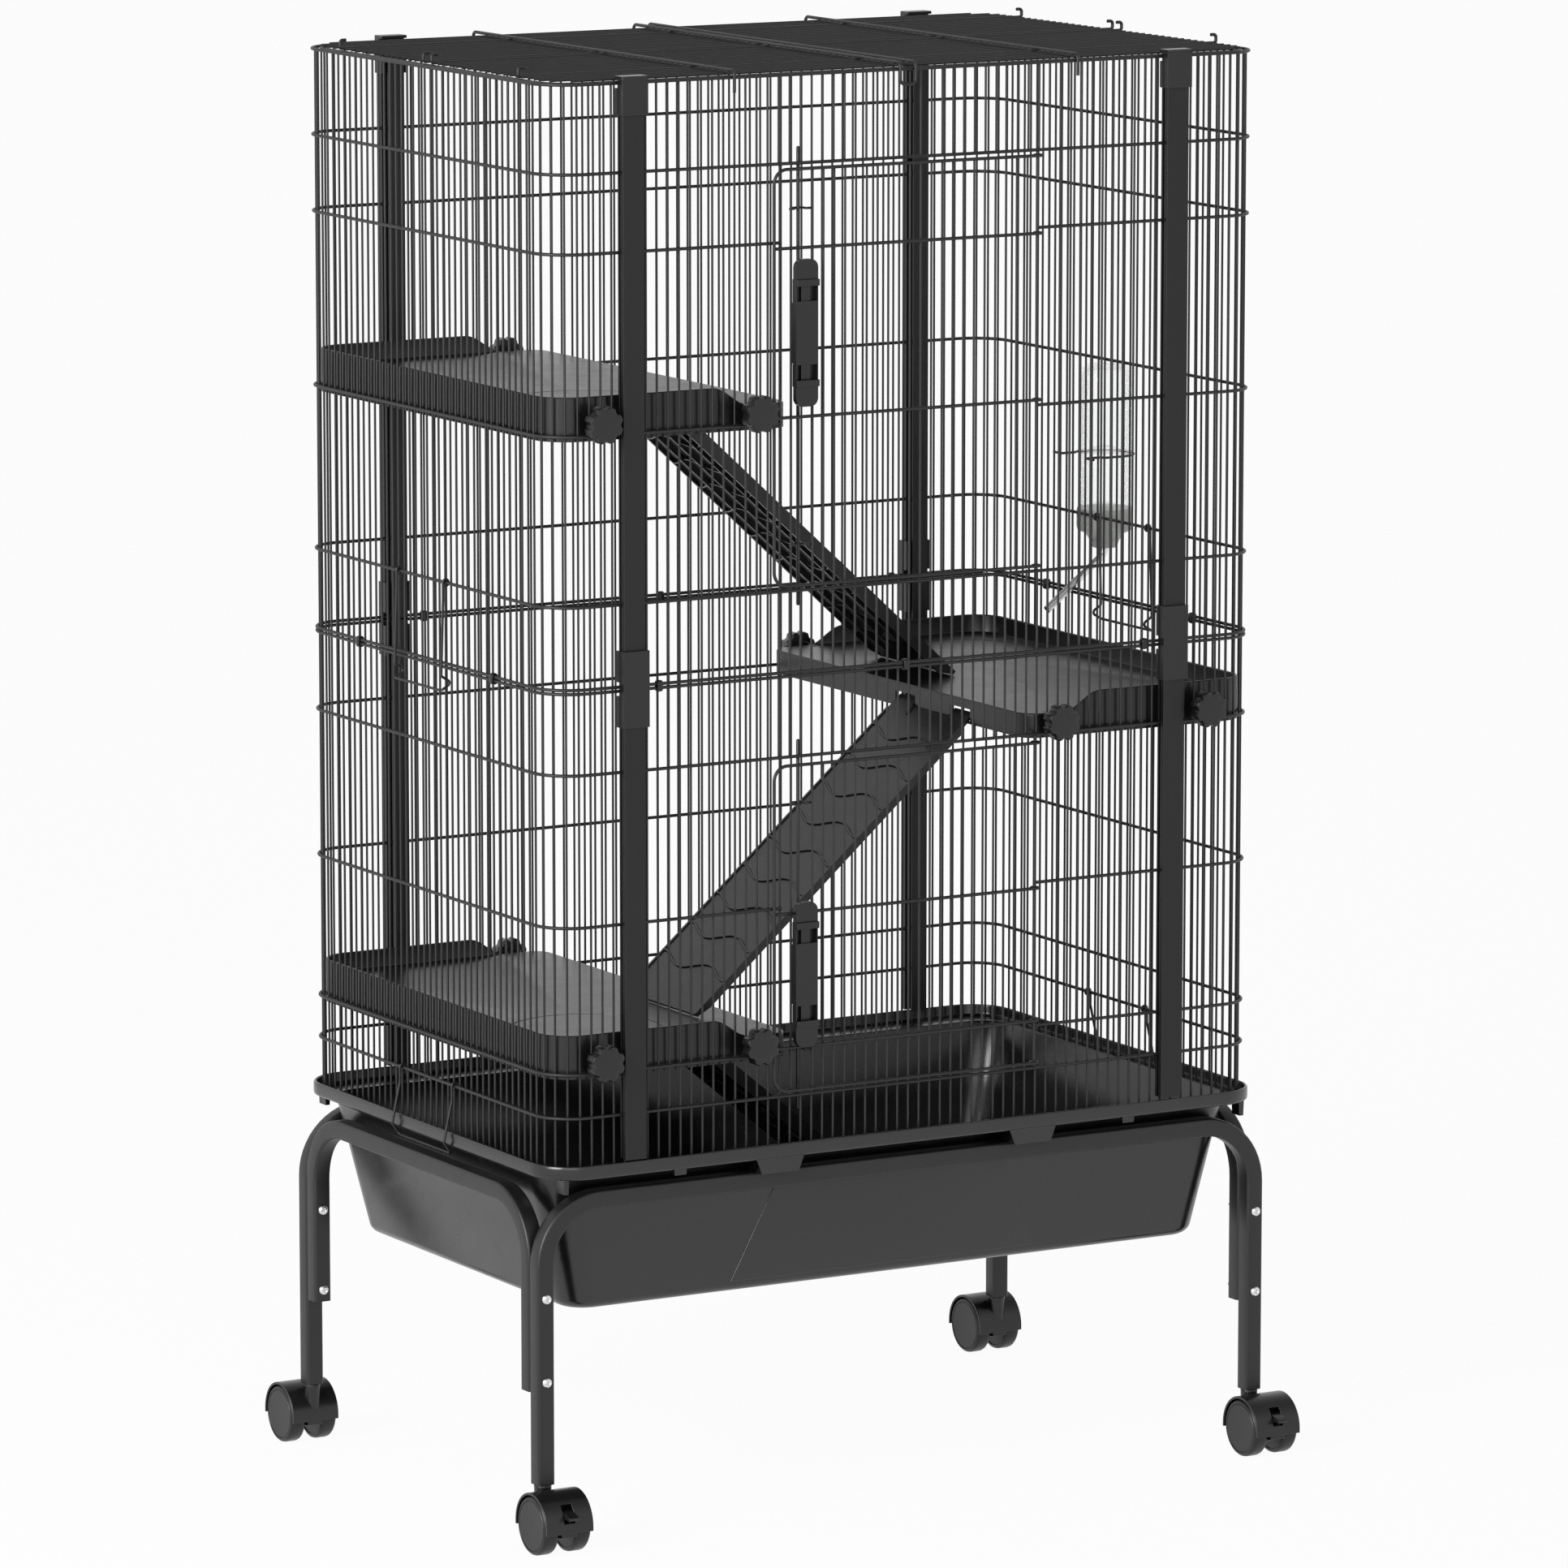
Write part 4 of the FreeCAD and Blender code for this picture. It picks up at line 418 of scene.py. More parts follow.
def bin_ring(level, inset):
    """Ring of the tapering bin: half sizes grow in step with the height, then shrink by the inset."""
    share = (level - BIN_FLOOR) / BIN_HEIGHT
    half_y = BIN_HALF_Y + BIN_FLARE_Y * share
    return tray_ring(355 + 33 * share - inset, half_y - inset, 30 + 5 * share - inset, level)


tray_tones = (0.002, 0.002, 0.0025), (0.004, 0.004, 0.0045)
black_tones = (0.003, 0.003, 0.0035), (0.006, 0.006, 0.0065)
tray_plastic = moulded("tray_plastic", *tray_tones, rough=0.24, grain=520.0, depth=0.00006, gloss=0.68)
black_plastic = moulded("black_plastic", *black_tones, rough=0.3, grain=520.0, depth=0.00008)
quarter = np.linspace(0, np.pi / 2, 6)
tray_rings = [bin_ring(BIN_FLOOR + 9 * (1 - np.cos(a)), 9 * (1 - np.sin(a))) for a in quarter]
tray_rings += [bin_ring(290, 0), bin_ring(350, 0)]
tray_rings += [bin_ring(351 + 5 * np.sin(a), -5 * (1 - np.cos(a))) for a in quarter[1:]]
lip_profile = [
    (3.2, 356.0), (1.6, 356.5), (0.5, 357.6), (0.0, 359.4), (0.0, 366.8), (0.3, 368.6), (1.0, 369.7),
    (1.9, 370.0), (2.8, 369.5), (3.2, 368.2), (3.3, 362.0), (3.9, 360.2), (5.6, 359.1), (8.0, 359.0),
]
tray_rings += [tray_ring(400 - inset, 265 - inset, 45 - inset, level) for inset, level in lip_profile]
tray_rings += [bin_ring(359.0, -1.5), bin_ring(358.6, 1.2), bin_ring(356.8, 2.4), bin_ring(290, 2.5)]
tray_rings += [bin_ring(221.5 + 9 * (1 - np.sin(a)), 2.5 + 9 * (1 - np.cos(a))) for a in quarter]
tray_forms = [stack(np.stack(tray_rings))]


def raised_panel(middle, face):
    """Trapezoid that stands proud of the sloping wall: three loops, the last one smaller and furthest out."""
    corners = np.array([[-171, 229], [171, 229], [128, 320], [-128, 320]], float)
    loops = []
    for proud, shrink in ((-0.8, 0.0), (0.5, 0.0), (1.15, 1.6)):
        inward = np.sign(corners - [0, 270]) * shrink
        spots = corners - inward
        depth = BIN_HALF_Y + BIN_FLARE_Y * (spots[:, 1] - BIN_FLOOR) / BIN_HEIGHT + proud
        loops.append(np.column_stack([spots[:, 0] + middle, face * depth, spots[:, 1]]))
    return stack(np.stack(loops))


def brick(low, high, slant=0.0):
    """A box between two corners whose lower face is shorter by the slant at both ends in X."""
    (x0, y0, z0), (x1, y1, z1) = low, high
    loops = []
    for level, cut in ((z0, slant), (z1, 0.0)):
        left, right = x0 + cut, x1 - cut
        loops.append([(left, y0, level), (right, y0, level), (right, y1, level), (left, y1, level)])
    return stack(np.array(loops, float))


for face, middle in ((-1, -9.5), (1, 9.5)):
    tray_forms.append(raised_panel(middle, face))
    for side in (-1, 1):
        tab, rib = (middle + side * 141.5, 26.5, 264.7, 6.0), (side * 379.0, 3.0, 255.0, 0.6)
        for centre, half, edge, slant in (tab, rib):
            near, far = sorted((face * edge, face * 241.0))
            tray_forms.append(brick((centre - half, near, 342.2), (centre + half, far, 357.6), slant))
        near, far = sorted((face * 264.4, face * 262.0))
        centre = middle + side * 251
        tray_forms.append(brick((centre - 7, near, 351), (centre + 7, far, 357.6), 0.6))
put("tray", tray_forms, "cage", "black_plastic", tray_plastic, "base_tray", bevel=0.5)

# Wall panels and doors: black enamelled steel wire, upright bars welded inside heavier hoops.
# Two U-shaped ends, a front and a back for each tier; each door hangs by wire eyes.


def enamel(name, low, high):
    """Dip enamel on wire: satin film with thin runs of gloss, faint lumps and worn paler touches."""
    finish, where = blank(name)
    run = where.noise(24.0, 5.0, 0.6)
    lump = where.noise(260.0, 2.0)
    return fill(
        finish, Base_Color=run.blend(low, high), Roughness=0.34 + run * 0.18 + lump * 0.06,
        Normal=lump.bump(0.25, 0.00012),
    )


def dress(finish, *names):
    """Gives CAD nodes that stay as they are their finish."""
    for name in names:
        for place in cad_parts[name].material_slots:
            place.material = finish


wire_enamel = enamel("wire_enamel", (0.004, 0.004, 0.0045), (0.008, 0.008, 0.0085))
sides = [f"{tier}_{face}_panel" for tier in ("upper", "lower") for face in ("front", "back", "left", "right")]
dress(wire_enamel, *sides, "upper_door", "lower_door")

# Roof panel: lengthwise wires welded on a rim of the same black wire. Heavier cross wires run over
# them and end in hooks that clip round the top hoops at the front and back.
dress(wire_enamel, "roof_panel")

# Corner posts: four extruded strips of H section in black powder coat. Their side slots hold the
# ends of the panels, and each strip is split where the upper tier stands on the lower one.


def upright(outline, low, high):
    """An outline of (x, y) points drawn from one level to another."""
    outline = np.asarray(outline, float)
    rings = [np.column_stack([outline, np.full(len(outline), level)]) for level in (low, high)]
    return stack(np.stack(rings))


post_paint = powder("post_paint", (0.003, 0.003, 0.0035), (0.006, 0.006, 0.0065), 0.4)
half_strip = [(11.5, -265), (11.5, -259.3), (3, -259.3), (3, -252.25), (9, -252.25), (9, -249.75)]
strip = half_strip + [(-x, y) for x, y in half_strip[::-1]]
post_places = [(-309.0, None), (290.0, None), (309.0, HALF_TURN), (-290.0, HALF_TURN)]
strips = []
for across, turn in post_places:
    for low, high in ((371.0, 822.0), (823.0, 1396.3)):
        strips.append(moved(upright(strip, low, high), (across, 0, 0), turn))
put("post_strips", strips, "cage", "post_paint", post_paint, "corner_posts", bevel=0.7)

# Connectors: moulded channels that clasp each post at its split and at its top, and snap clips
# that hold the two hoops of the joint together.


def channel(levels, cut):
    """A channel section along its height, with its side walls left open in one row of cells."""
    rows = np.asarray(levels, float)

    def wall(half, face):
        near = np.array([[-half, -254], [-half, -259.3], [-half, face]])
        path = np.concatenate([near, near[::-1] * [-1, 1]])
        flat = np.broadcast_to(path[None], (len(rows), *path.shape))
        height = np.broadcast_to(rows[:, None, None], (*flat.shape[:2], 1))
        return np.concatenate([flat, height], axis=-1)

    keep = np.ones((len(rows) - 1, 5), bool)
    keep[cut, [0, 4]] = False
    return thick(wall(14.0, -268.6), wall(11.8, -265.3), keep)


def snap_clip(spot, along_y):
    """A short barrel-shaped sleeve round both hoops: loops that swell towards the middle."""
    swell = np.array([0.86, 0.97, 1.0, 0.97, 0.86])
    run = np.array([-3.0, -2.2, 0, 2.2, 3.0])
    outer = round_loop(3.6, 5.5, 2.6, 5)[None] * swell[:, None, None]
    inner = np.broadcast_to(round_loop(1.95, 3.85, 1.6, 5), outer.shape)
    along = np.broadcast_to(run[:, None, None], (*outer.shape[:2], 1))
    sleeves = [np.concatenate([along, loop], axis=-1) for loop in (outer, inner)]
    turn = np.array([[0.0, -1, 0], [1, 0, 0], [0, 0, 1]]) if along_y else None
    return moved(thick(*sleeves, np.ones((4, outer.shape[1]), bool), wrap=True), spot, turn)


fittings = []
for across, turn in post_places:
    parts = [channel((786.0, 816.0, 829.0, 859.0), 1), channel((1362.6, 1388.1, 1396.6), 1)]
    parts.append(brick((-14, -268.6, 1396.6), (14, -253.6, 1399.6)))
    fittings += [moved(form, (across, 0, 0), turn) for form in parts]
CLIP_SPOTS_FRONT, CLIP_SPOTS_END = (-278.89, -8.94, 259.9), (-140.5, 135.5)
HOOP_X, HOOP_Y, JOINT = 393.4, 256.9, 822.5
for across in CLIP_SPOTS_FRONT:
    fittings.append(snap_clip((across, -HOOP_Y, JOINT), False))
    fittings.append(snap_clip((-across, HOOP_Y, JOINT), False))
for depth in CLIP_SPOTS_END:
    fittings.append(snap_clip((-HOOP_X, depth, JOINT), True))
    fittings.append(snap_clip((HOOP_X, -depth, JOINT), True))
put("post_fittings", fittings, "cage", "black_plastic", black_plastic, "panel_connectors", bevel=0.6)

# Door latches: a moulded plate on each door with two windows. A sprung bolt runs up and another
# down behind it; their finger grips stand in front and are squeezed together to open the door.


ROD_X = -124.14
WINDOW = (30.2, 50.3)


def latch_plate_form(middle):
    """Plate of two grids with windows cut out and a groove behind; quarter circles narrow both ends."""
    end = 62 + 8 * np.sin(np.linspace(0, np.pi / 2, 7))
    upper = np.concatenate([[0, 10.0], WINDOW, [56.0], end])
    level = np.concatenate([-upper[:0:-1], upper])
    narrow = 4 + np.sqrt(np.maximum(64 - (np.abs(level) - 62) ** 2, 0))
    half = np.where(np.abs(level) > 62, narrow, 12.0)
    shares = np.array([-1.0, -11 / 12, -5.7 / 12, -5.5 / 12, 5.5 / 12, 5.7 / 12, 11 / 12, 1.0])
    across = half[:, None] * shares[None]
    groove = (np.abs(shares) < 5.6 / 12)[None] & (np.abs(level) < 56)[:, None]
    faces = []
    for depth in (-268.4, np.where(groove, -266.4, -262.4)):
        faces.append(np.stack(np.broadcast_arrays(across + ROD_X, depth, level[:, None] + middle), axis=-1))
    halfway = np.abs(level[:-1] + level[1:]) / 2
    keep = np.ones((len(level) - 1, len(shares) - 1), bool)
    keep[(halfway > WINDOW[0]) & (halfway < WINDOW[1]), 1:-1] = False
    return thick(*faces, keep)


def bolt_forms(middle, up, reach):
    """Rod, slider, neck and finger grip of the upper bolt; the lower one is the same turned over."""
    rod = lathe([(0, 28.2), (1.8, 28.2), (1.8, reach - 1.4), (1.0, reach), (0, reach)], 16)
    slider = upright(round_loop(5.15, 7.55, 0.8) + [0, -258.5], 28.0, 50.0)
    neck = brick((-5.15, -268.8, 48.0), (5.15, -266.0, 50.0))
    grip = upright(round_loop(12.4, 1.3, 0.9) + [0, -270.0], 44.5, 51.0)
    forms = [moved(rod, (0, -250.95, 0)), slider, neck, grip]
    turn = None if up else np.diag([-1.0, 1.0, -1.0])
    return [moved(form, (ROD_X, 0, middle), turn) for form in forms]


def coil(middle, up):
    """Half of the spring: radius times (cos, sin) of the turn, rising evenly from the middle."""
    turn = np.linspace(0, 2 * np.pi * 10, 10 * 14 + 1)
    rise = np.linspace(0, 27.2, len(turn)) * (1 if up else -1)
    path = np.column_stack([2.1 * np.cos(turn) + ROD_X, 2.1 * np.sin(turn) - 259.6, rise + middle])
    return carry(round_loop(0.35, 0.35, 0.34, 2), path, (0, 0, 1))


latch_plastic = moulded("latch_plastic", *black_tones, rough=0.3, grain=700.0, depth=0.00006)


def spring_wire(name):
    """Dark oiled spring wire: metal with drawn streaks in its roughness."""
    finish, where = blank(name)
    streak = where.noise(900.0, 3.0)
    tone = streak.blend((0.1, 0.1, 0.1), (0.18, 0.18, 0.18))
    return fill(finish, Base_Color=tone, Metallic=1.0, Roughness=0.3 + streak * 0.2)


spring_steel = spring_wire("spring_steel")
LATCHES = (("upper", 1149.0, 175.5, 261.9), ("lower", 533.1, 225.4, 133.9))
for tier, middle, up_reach, down_reach in LATCHES:
    door = f"{tier}_door_body"
    plate = [latch_plate_form(middle)]
    for side in (-1, 1):
        rail = ROD_X + side * 10.5
        plate.append(brick((rail - 1.5, -263, middle - 29), (rail + 1.5, -259.2, middle + 29)))
    for side, end in ((-1, -1), (-1, 1), (1, -1), (1, 1)):
        left, right = sorted((side * 5.6, side * 11.9))
        low, high = sorted((end * 29.4, end * 51.0))
        plate.append(brick((ROD_X + left, -262.5, middle + low), (ROD_X + right, -260.9, middle + high)))
    put(f"{tier}_latch_face", plate, door, "black_plastic", black_plastic, f"{tier}_latch_plate", bevel=0.7)
    for end, up, reach in (("top", True, up_reach), ("bottom", False, down_reach)):
        forms = bolt_forms(middle, up, reach)
        bolt, bolt_node, coils = f"{tier}_{end}_bolt", f"{tier}_latch_{end}_bolt", [coil(middle, up)]
        put(f"{tier}_{end}_bolt_grip", forms, bolt, "latch_plastic", latch_plastic, bolt_node, bevel=0.5)
        spring_node = f"{tier}_latch_spring"
        spring = put(f"{tier}_{end}_coil", coils, door, "spring_steel", spring_steel, spring_node)
        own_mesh(spring)

# Platforms: moulded decks of black plastic that hang between the side walls. A low wall sweeps
# down in an S towards the open end, and a ring on the deck marks the place of a bowl.


def deck_loop(inset):
    """Outline of a platform seen from above with points at the slots' edges, moved in by the inset."""
    left, right, half = -388.75 + inset, -131.75 - inset, 249.45 - inset
    wide, tight = 33.0 - inset, 18.0 - inset
    bend = np.linspace(0, np.pi / 2, 9)
    slots = np.array([0.5, 38.5, 105.5, 143.5])
    run = np.concatenate([np.linspace(-220, -20, 8), slots, [180.0]])
    edge_open = np.column_stack([np.full(len(run), right), run])
    along = np.linspace(right - tight, left + wide, 40)[1:-1]
    edge_back = np.column_stack([along, np.full(len(along), half)])
    edge_wall = np.column_stack([np.full(9, left), np.linspace(half - wide, wide - half, 11)[1:-1]])
    corners = []
    open_x, wall_x, open_y, wall_y = right - tight, left + wide, half - tight, half - wide
    centres = ((open_x, open_y, tight), (wall_x, wall_y, wide), (wall_x, -wall_y, wide), (open_x, -open_y, tight))
    for quadrant, (x, y, r) in enumerate(centres):
        angle = bend + quadrant * np.pi / 2
        corners.append(np.column_stack([x + r * np.cos(angle), y + r * np.sin(angle)]))
    edge_front = edge_back[::-1] * [1, -1]
    runs = [edge_open, corners[0], edge_back, corners[1], edge_wall, corners[2], edge_front, corners[3]]
    return np.concatenate(runs)


def wall_height(across):
    """18 at the wall end, then half a cosine wave down to the deck over the sweep."""
    share = np.clip((across + 215.75) / 40.0, 0, 1)
    return 18.0 * (0.5 + 0.5 * np.cos(np.pi * share))


def at(loop, level):
    return np.column_stack([loop, np.broadcast_to(level, len(loop))])


KNOB_SPOTS = (
    ("front_end", -345.18, -1), ("front_inner", -177.1, -1), ("back_end", -326.18, 1), ("back_inner", -158.1, 1),
)
KNOB_DROP = 6.5


def platform_forms():
    """Deck and wall as one stack of loops: from the bowl ring outwards, over the wall, down the skirt."""
    edge = deck_loop(3.0)
    bowl = np.array([-293.75, -137.45])
    ray = edge - bowl
    ray /= np.linalg.norm(ray, axis=1, keepdims=True)
    rings = [at(bowl + ray * r, z) for r, z in ((20, 0), (72.9, 0), (73.2, -0.75), (74.7, -0.75), (75, 0))]
    height = wall_height(edge[:, 0])
    foot, step = np.minimum(0.5, height), np.minimum(1.8, height)
    rise = np.maximum(height - 0.9, step)
    over = [
        (4.6, 0.0), (3.4, foot), (3.0, step), (2.9, rise), (2.3, height), (0.9, height), (0.2, height - 0.8),
        (0.0, -1.6), (0.0, -3.2), (2.0, -3.2),
    ]
    rings += [at(deck_loop(inset), level) for inset, level in over]
    skirt_levels = np.array([-2.2, -9.4, -21.9, -24.0])
    outer, inner = (np.stack([at(deck_loop(inset), level) for level in skirt_levels]) for inset in (0.02, 3.0))
    keep = np.ones((3, outer.shape[1]), bool)
    keep[1, [8, 10]] = False
    forms = [stack(np.stack(rings)), thick(outer, inner, keep, wrap=True)]
    boss = lathe([(0, 0), (6.6, 0), (7, 0.5), (7, 11)], 20)
    for _, across, side in KNOB_SPOTS:
        forms.append(moved(boss, (across, side * 237.45, -KNOB_DROP), TO_BACK if side > 0 else TO_FRONT))
    return forms


DECKS = (("top", 1082.0, None), ("middle", 761.6, HALF_TURN), ("low", 475.1, None))
for tier, level, turn in DECKS:
    forms = [moved(form, (0, 0, level), turn) for form in platform_forms()]
    put(f"{tier}_deck", forms, "cage", "black_plastic", black_plastic, f"{tier}_platform", crease=32)

# Knobs: eight-pointed star knobs of black plastic. Each has a hub and a stud that passes between
# the wires into a boss of its platform and clamps it to the wall.


def star(scale, level):
    """A circle with eight scallops: on each ray the nearer of rim and scallop edge, times the scale."""
    angle = np.linspace(0, 2 * np.pi, 96, endpoint=False)
    off = (angle + np.pi / 8) % (np.pi / 4) - np.pi / 8
    bite = 19.9 * np.cos(off) - np.sqrt(np.maximum(4.5**2 - (19.9 * np.sin(off)) ** 2, 0))
    radius = np.where(np.abs(19.9 * np.sin(off)) < 4.5, np.minimum(18.0, bite), 18.0) * scale
    return np.column_stack([radius * np.cos(angle), radius * np.sin(angle), np.full(96, level)])


star_profile = [
    (0.5, 6.0), (0.93, 6.0), (1.0, 7.2), (1.0, 18.2), (0.95, 19.7), (0.82, 20.3), (0.5, 20.8), (0.2, 21.0),
]
star_rings = np.stack([star(scale, level) for scale, level in star_profile])
hub_profile = [(0, -18.0), (3, -18.0), (3, 0), (8.6, 0), (9, 0.5), (9, 6.5), (0, 6.5)]
for tier, level, back in DECKS:
    sign = 1 if back is None else -1
    for place, across, side in KNOB_SPOTS:
        out = side * sign
        spot, turn = (across * sign, out * 258.8, level - KNOB_DROP), TO_BACK if out > 0 else TO_FRONT
        forms = [moved(form, spot, turn) for form in (stack(star_rings), lathe(hub_profile, 32))]
        knob = f"{tier}_knob_{place}"
        put(f"{tier}_{place}_star", forms, f"{knob}_body", "black_plastic", black_plastic, knob, crease=35)

# Ramps: moulded plastic boards with wavy grip ribs across the top, deep edges and two tongues that
# hang in slots of a platform; the lower end rests on the deck or the tray floor below.


WAVE_GAP, FIRST_WAVE = 39.2, 43.4


def ramp_forms(length):
    """Two grids whose rows follow the waves: a sine of 88 mm period across that swells towards the edges."""
    strakes = np.array([-35.5, 0.0, 35.5])
    edges = (strakes[:, None] + [-1.5, -1.3, 1.3, 1.5]).ravel()
    ledge_ends = [-33.3, -33.0, 33.0, 33.3]
    across = np.unique(np.concatenate([np.linspace(-70.6, 70.6, 41), edges, ledge_ends]))
    wave = -5.4 * np.sin(2 * np.pi * across / 88) * (1 + 0.3 * (across / 67) ** 2)
    waves = np.arange(FIRST_WAVE, length - 14, WAVE_GAP)
    offsets = np.array([-1.5, -1.1, 0.5, 0.8, 0.9, 1.8, 1.9])
    heights = np.array([0, 1.4, 1.4, 0, -0.8, -0.8, 0])
    ribs = (waves[:, None] + offsets).ravel()
    base = np.concatenate([[4.0, 16.0, 16.3, 20.0], ribs, [length - 1.5, length]])
    lift = np.concatenate([np.zeros(4), np.tile(heights, len(waves)), np.zeros(2)])
    fade = np.clip(np.minimum(base - 16.3, length - base) / 12, 0, 1)
    run = base[:, None] + fade[:, None] * wave[None]
    ledge = 1.6 * ((base < 16.1)[:, None] & (np.abs(across) < 33.1)[None])
    top = 1.5 + lift[:, None] - ledge
    beam = 5.0 * (np.abs(across[:, None] - strakes).min(axis=1) < 1.4)
    inside = np.clip(np.minimum(base - 16, length - 10 - base) / 4, 0, 1)
    under = -1.5 - inside[:, None] * np.maximum(2.4 * lift[:, None], beam[None])
    wide = np.broadcast_to(across[None], run.shape)
    keep = np.ones((len(base) - 1, len(across) - 1), bool)
    faces = [np.stack([run, wide, height], axis=-1) for height in (top, under)]
    forms = [thick(*faces, keep)]
    for side, foot in ((-1, -10.5), (1, -5.0)):
        flange = [(14, foot), (length - 16, foot), (length - 0.1, -1.45), (length - 0.1, 2.6), (14, 2.6)]
        forms.append(moved(slab(flange, 1.5, TO_FRONT), (0, side * 69.5, 0)))
        low, high = side * 52.5 - 17.5, side * 52.5 + 17.5
        forms.append(brick((-6, low, -1.4), (14, high, 1.6)))
        forms.append(brick((-6, low, -6.5), (-3.2, high, 1.4)))
    return forms


SLOPES, RESTS = (42.0, 40.9, 39.5), (761.6, 475.1, 221.5)
PIVOT_X, PIVOT_Y, PIVOT_DROP, REST_GAP = -133.25, 72.0, 18.0, 1.8
for (tier, level, back), slope, rest in zip(DECKS, SLOPES, RESTS):
    tilt = math.radians(slope)
    rise, run = math.sin(tilt), math.cos(tilt)
    lean = np.array([[run, 0, rise], [0, 1, 0], [-rise, 0, run]])
    turn = lean if back is None else HALF_TURN @ lean
    sign = 1 if back is None else -1
    spot = (PIVOT_X * sign, PIVOT_Y * sign, level - PIVOT_DROP)
    length = (level - PIVOT_DROP - rest - REST_GAP) / rise
    forms = [moved(form, spot, turn) for form in ramp_forms(length)]
    ramp, board = f"{tier}_ramp", f"{tier}_ramp_board"
    put(board, forms, f"{ramp}_body", "black_plastic", black_plastic, ramp, crease=30)

# Water bottle: clear blow-moulded bottle hung upside down on the right end in a wire loop, with a
# pale screw cap and a bent steel drinking tube that reaches in between two bars.


def clear_shell(name):
    """Clear plastic: nearly colourless, with faint flow marks in its surface."""
    finish, where = blank(name)
    flow = where.noise(40.0, 3.0)
    return fill(
        finish, Base_Color=flow.blend((0.93, 0.95, 0.95), (0.97, 0.98, 0.98)), Roughness=0.04 + flow * 0.05,
        Transmission_Weight=0.96, IOR=1.46, Alpha=0.35, Normal=flow.bump(0.15, 0.0004),
    )


def pale_cap(name):
    """Milky plastic: light passes a little way in, with a soft gloss."""
    finish, where = blank(name)
    cloud = where.noise(60.0, 3.0)
    return fill(
        finish, Base_Color=cloud.blend((0.5, 0.52, 0.49), (0.62, 0.64, 0.61)), Roughness=0.3 + cloud * 0.12,
        Transmission_Weight=0.35, IOR=1.45, Normal=cloud.bump(0.2, 0.0002),
    )


clear_plastic = clear_shell("clear_plastic")
cap_plastic = pale_cap("cap_plastic")
BOTTLE_X, BOTTLE_Y = 425.0, 80.4
bottle_spot = (BOTTLE_X, BOTTLE_Y, 0)
glass_profile = [
    (25.5, 906.6), (27.0, 906.6), (27.0, 930), (26.4, 934), (26.4, 940), (27.0, 944), (27.0, 1036),
    (26.2, 1042), (23.5, 1048.5), (18.0, 1052.0), (0.5, 1052.4), (0.5, 1050.9), (17.3, 1050.5), (22.2, 1047.3),
    (24.7, 1041), (25.4, 1036), (25.4, 944), (24.9, 940), (24.9, 934), (25.4, 930),
]
glass = lathe(glass_profile + glass_profile[:1], 56, open_ends=True)
put("bottle", [moved(glass, bottle_spot)], "cage", "clear_plastic", clear_plastic, "water_bottle")
cap_profile = [
    (4.1, 905.9), (26.0, 906.3), (27.9, 905.6), (28.4, 904.2), (28.4, 886.5), (27.6, 884.0), (25.5, 882.4),
    (20.0, 880.4), (14.6, 872), (12.9, 866.6), (12.2, 865.6), (4.1, 865.6),
]
cap_body = lathe(cap_profile + cap_profile[:1], 48, open_ends=True)
cap_forms = [cap_body]
rib = brick((27.9, -0.5, 888), (28.5, 0.5, 903))
for angle in np.arange(36) * np.pi / 18:
    rise, run = math.sin(angle), math.cos(angle)
    cap_forms.append(moved(rib, turn=[[run, -rise, 0], [rise, run, 0], [0, 0, 1]]))
cap_forms = [moved(form, bottle_spot) for form in cap_forms]
put("bottle_cap_cone", cap_forms, "cage", "cap_plastic", cap_plastic, "bottle_cap")
ENTRY_LEVEL, KNEE_LEVEL, TIP_X, TIP_LEVEL, TUBE_BEND = 882.0, 859.0, 357.0, 806.0, 14.0
entry = np.array([BOTTLE_X, BOTTLE_Y, ENTRY_LEVEL])
knee, tip = np.array([BOTTLE_X, BOTTLE_Y, KNEE_LEVEL]), np.array([TIP_X, BOTTLE_Y, TIP_LEVEL])
heading = (tip - knee) / np.linalg.norm(tip - knee)
turn_angle = math.acos(-heading[2])
bend_x, bend_z = BOTTLE_X - TUBE_BEND, KNEE_LEVEL + TUBE_BEND * math.tan(turn_angle / 2)
arc = np.linspace(0, turn_angle, 10)
across, level = bend_x + TUBE_BEND * np.cos(arc), bend_z - TUBE_BEND * np.sin(arc)
bend = np.column_stack([across, np.full(len(arc), BOTTLE_Y), level])
spout_path = np.concatenate([[entry, entry - [0, 0, 1]], bend, [tip - heading, tip]])
tube_loop = round_loop(4.0, 4.0, 3.999, 6)
shell = carry(tube_loop, spout_path, (0, 1, 0), (True, False))
bore = carry(tube_loop * 0.8, spout_path[-3:], (0, 1, 0), (True, False))
mouth = sheet(np.stack([shell[0][-24:], bore[0][-24:]]), wrap=True)
put("drinking_tube", [shell, bore, mouth], "cage", "zinc", zinc)
dress(wire_enamel, "bottle_bracket")

# End latches: bent wires that swing on the hoops at both ends. The upper pair snaps under the
# doubled hoop of the joint, the lower pair tucks under the tray's rim.
dress(wire_enamel, *[f"{side}_{kind}" for side in ("left", "right") for kind in ("tier_latch", "tray_bail")])

# Studio: pale floor that runs far behind, a soft key lamp from the left, a weaker one from the front,
# a white backdrop that darkens overhead, and the camera at the photograph's angle.
floor_mesh = bpy.data.meshes.new("studio_floor")
floor_mesh.from_pydata([(-60, -30, 0), (60, -30, 0), (60, 90, 0), (-60, 90, 0)], [], [(0, 1, 2, 3)])
studio_floor = bpy.data.objects.new("studio_floor", floor_mesh)
bpy.context.scene.collection.objects.link(studio_floor)


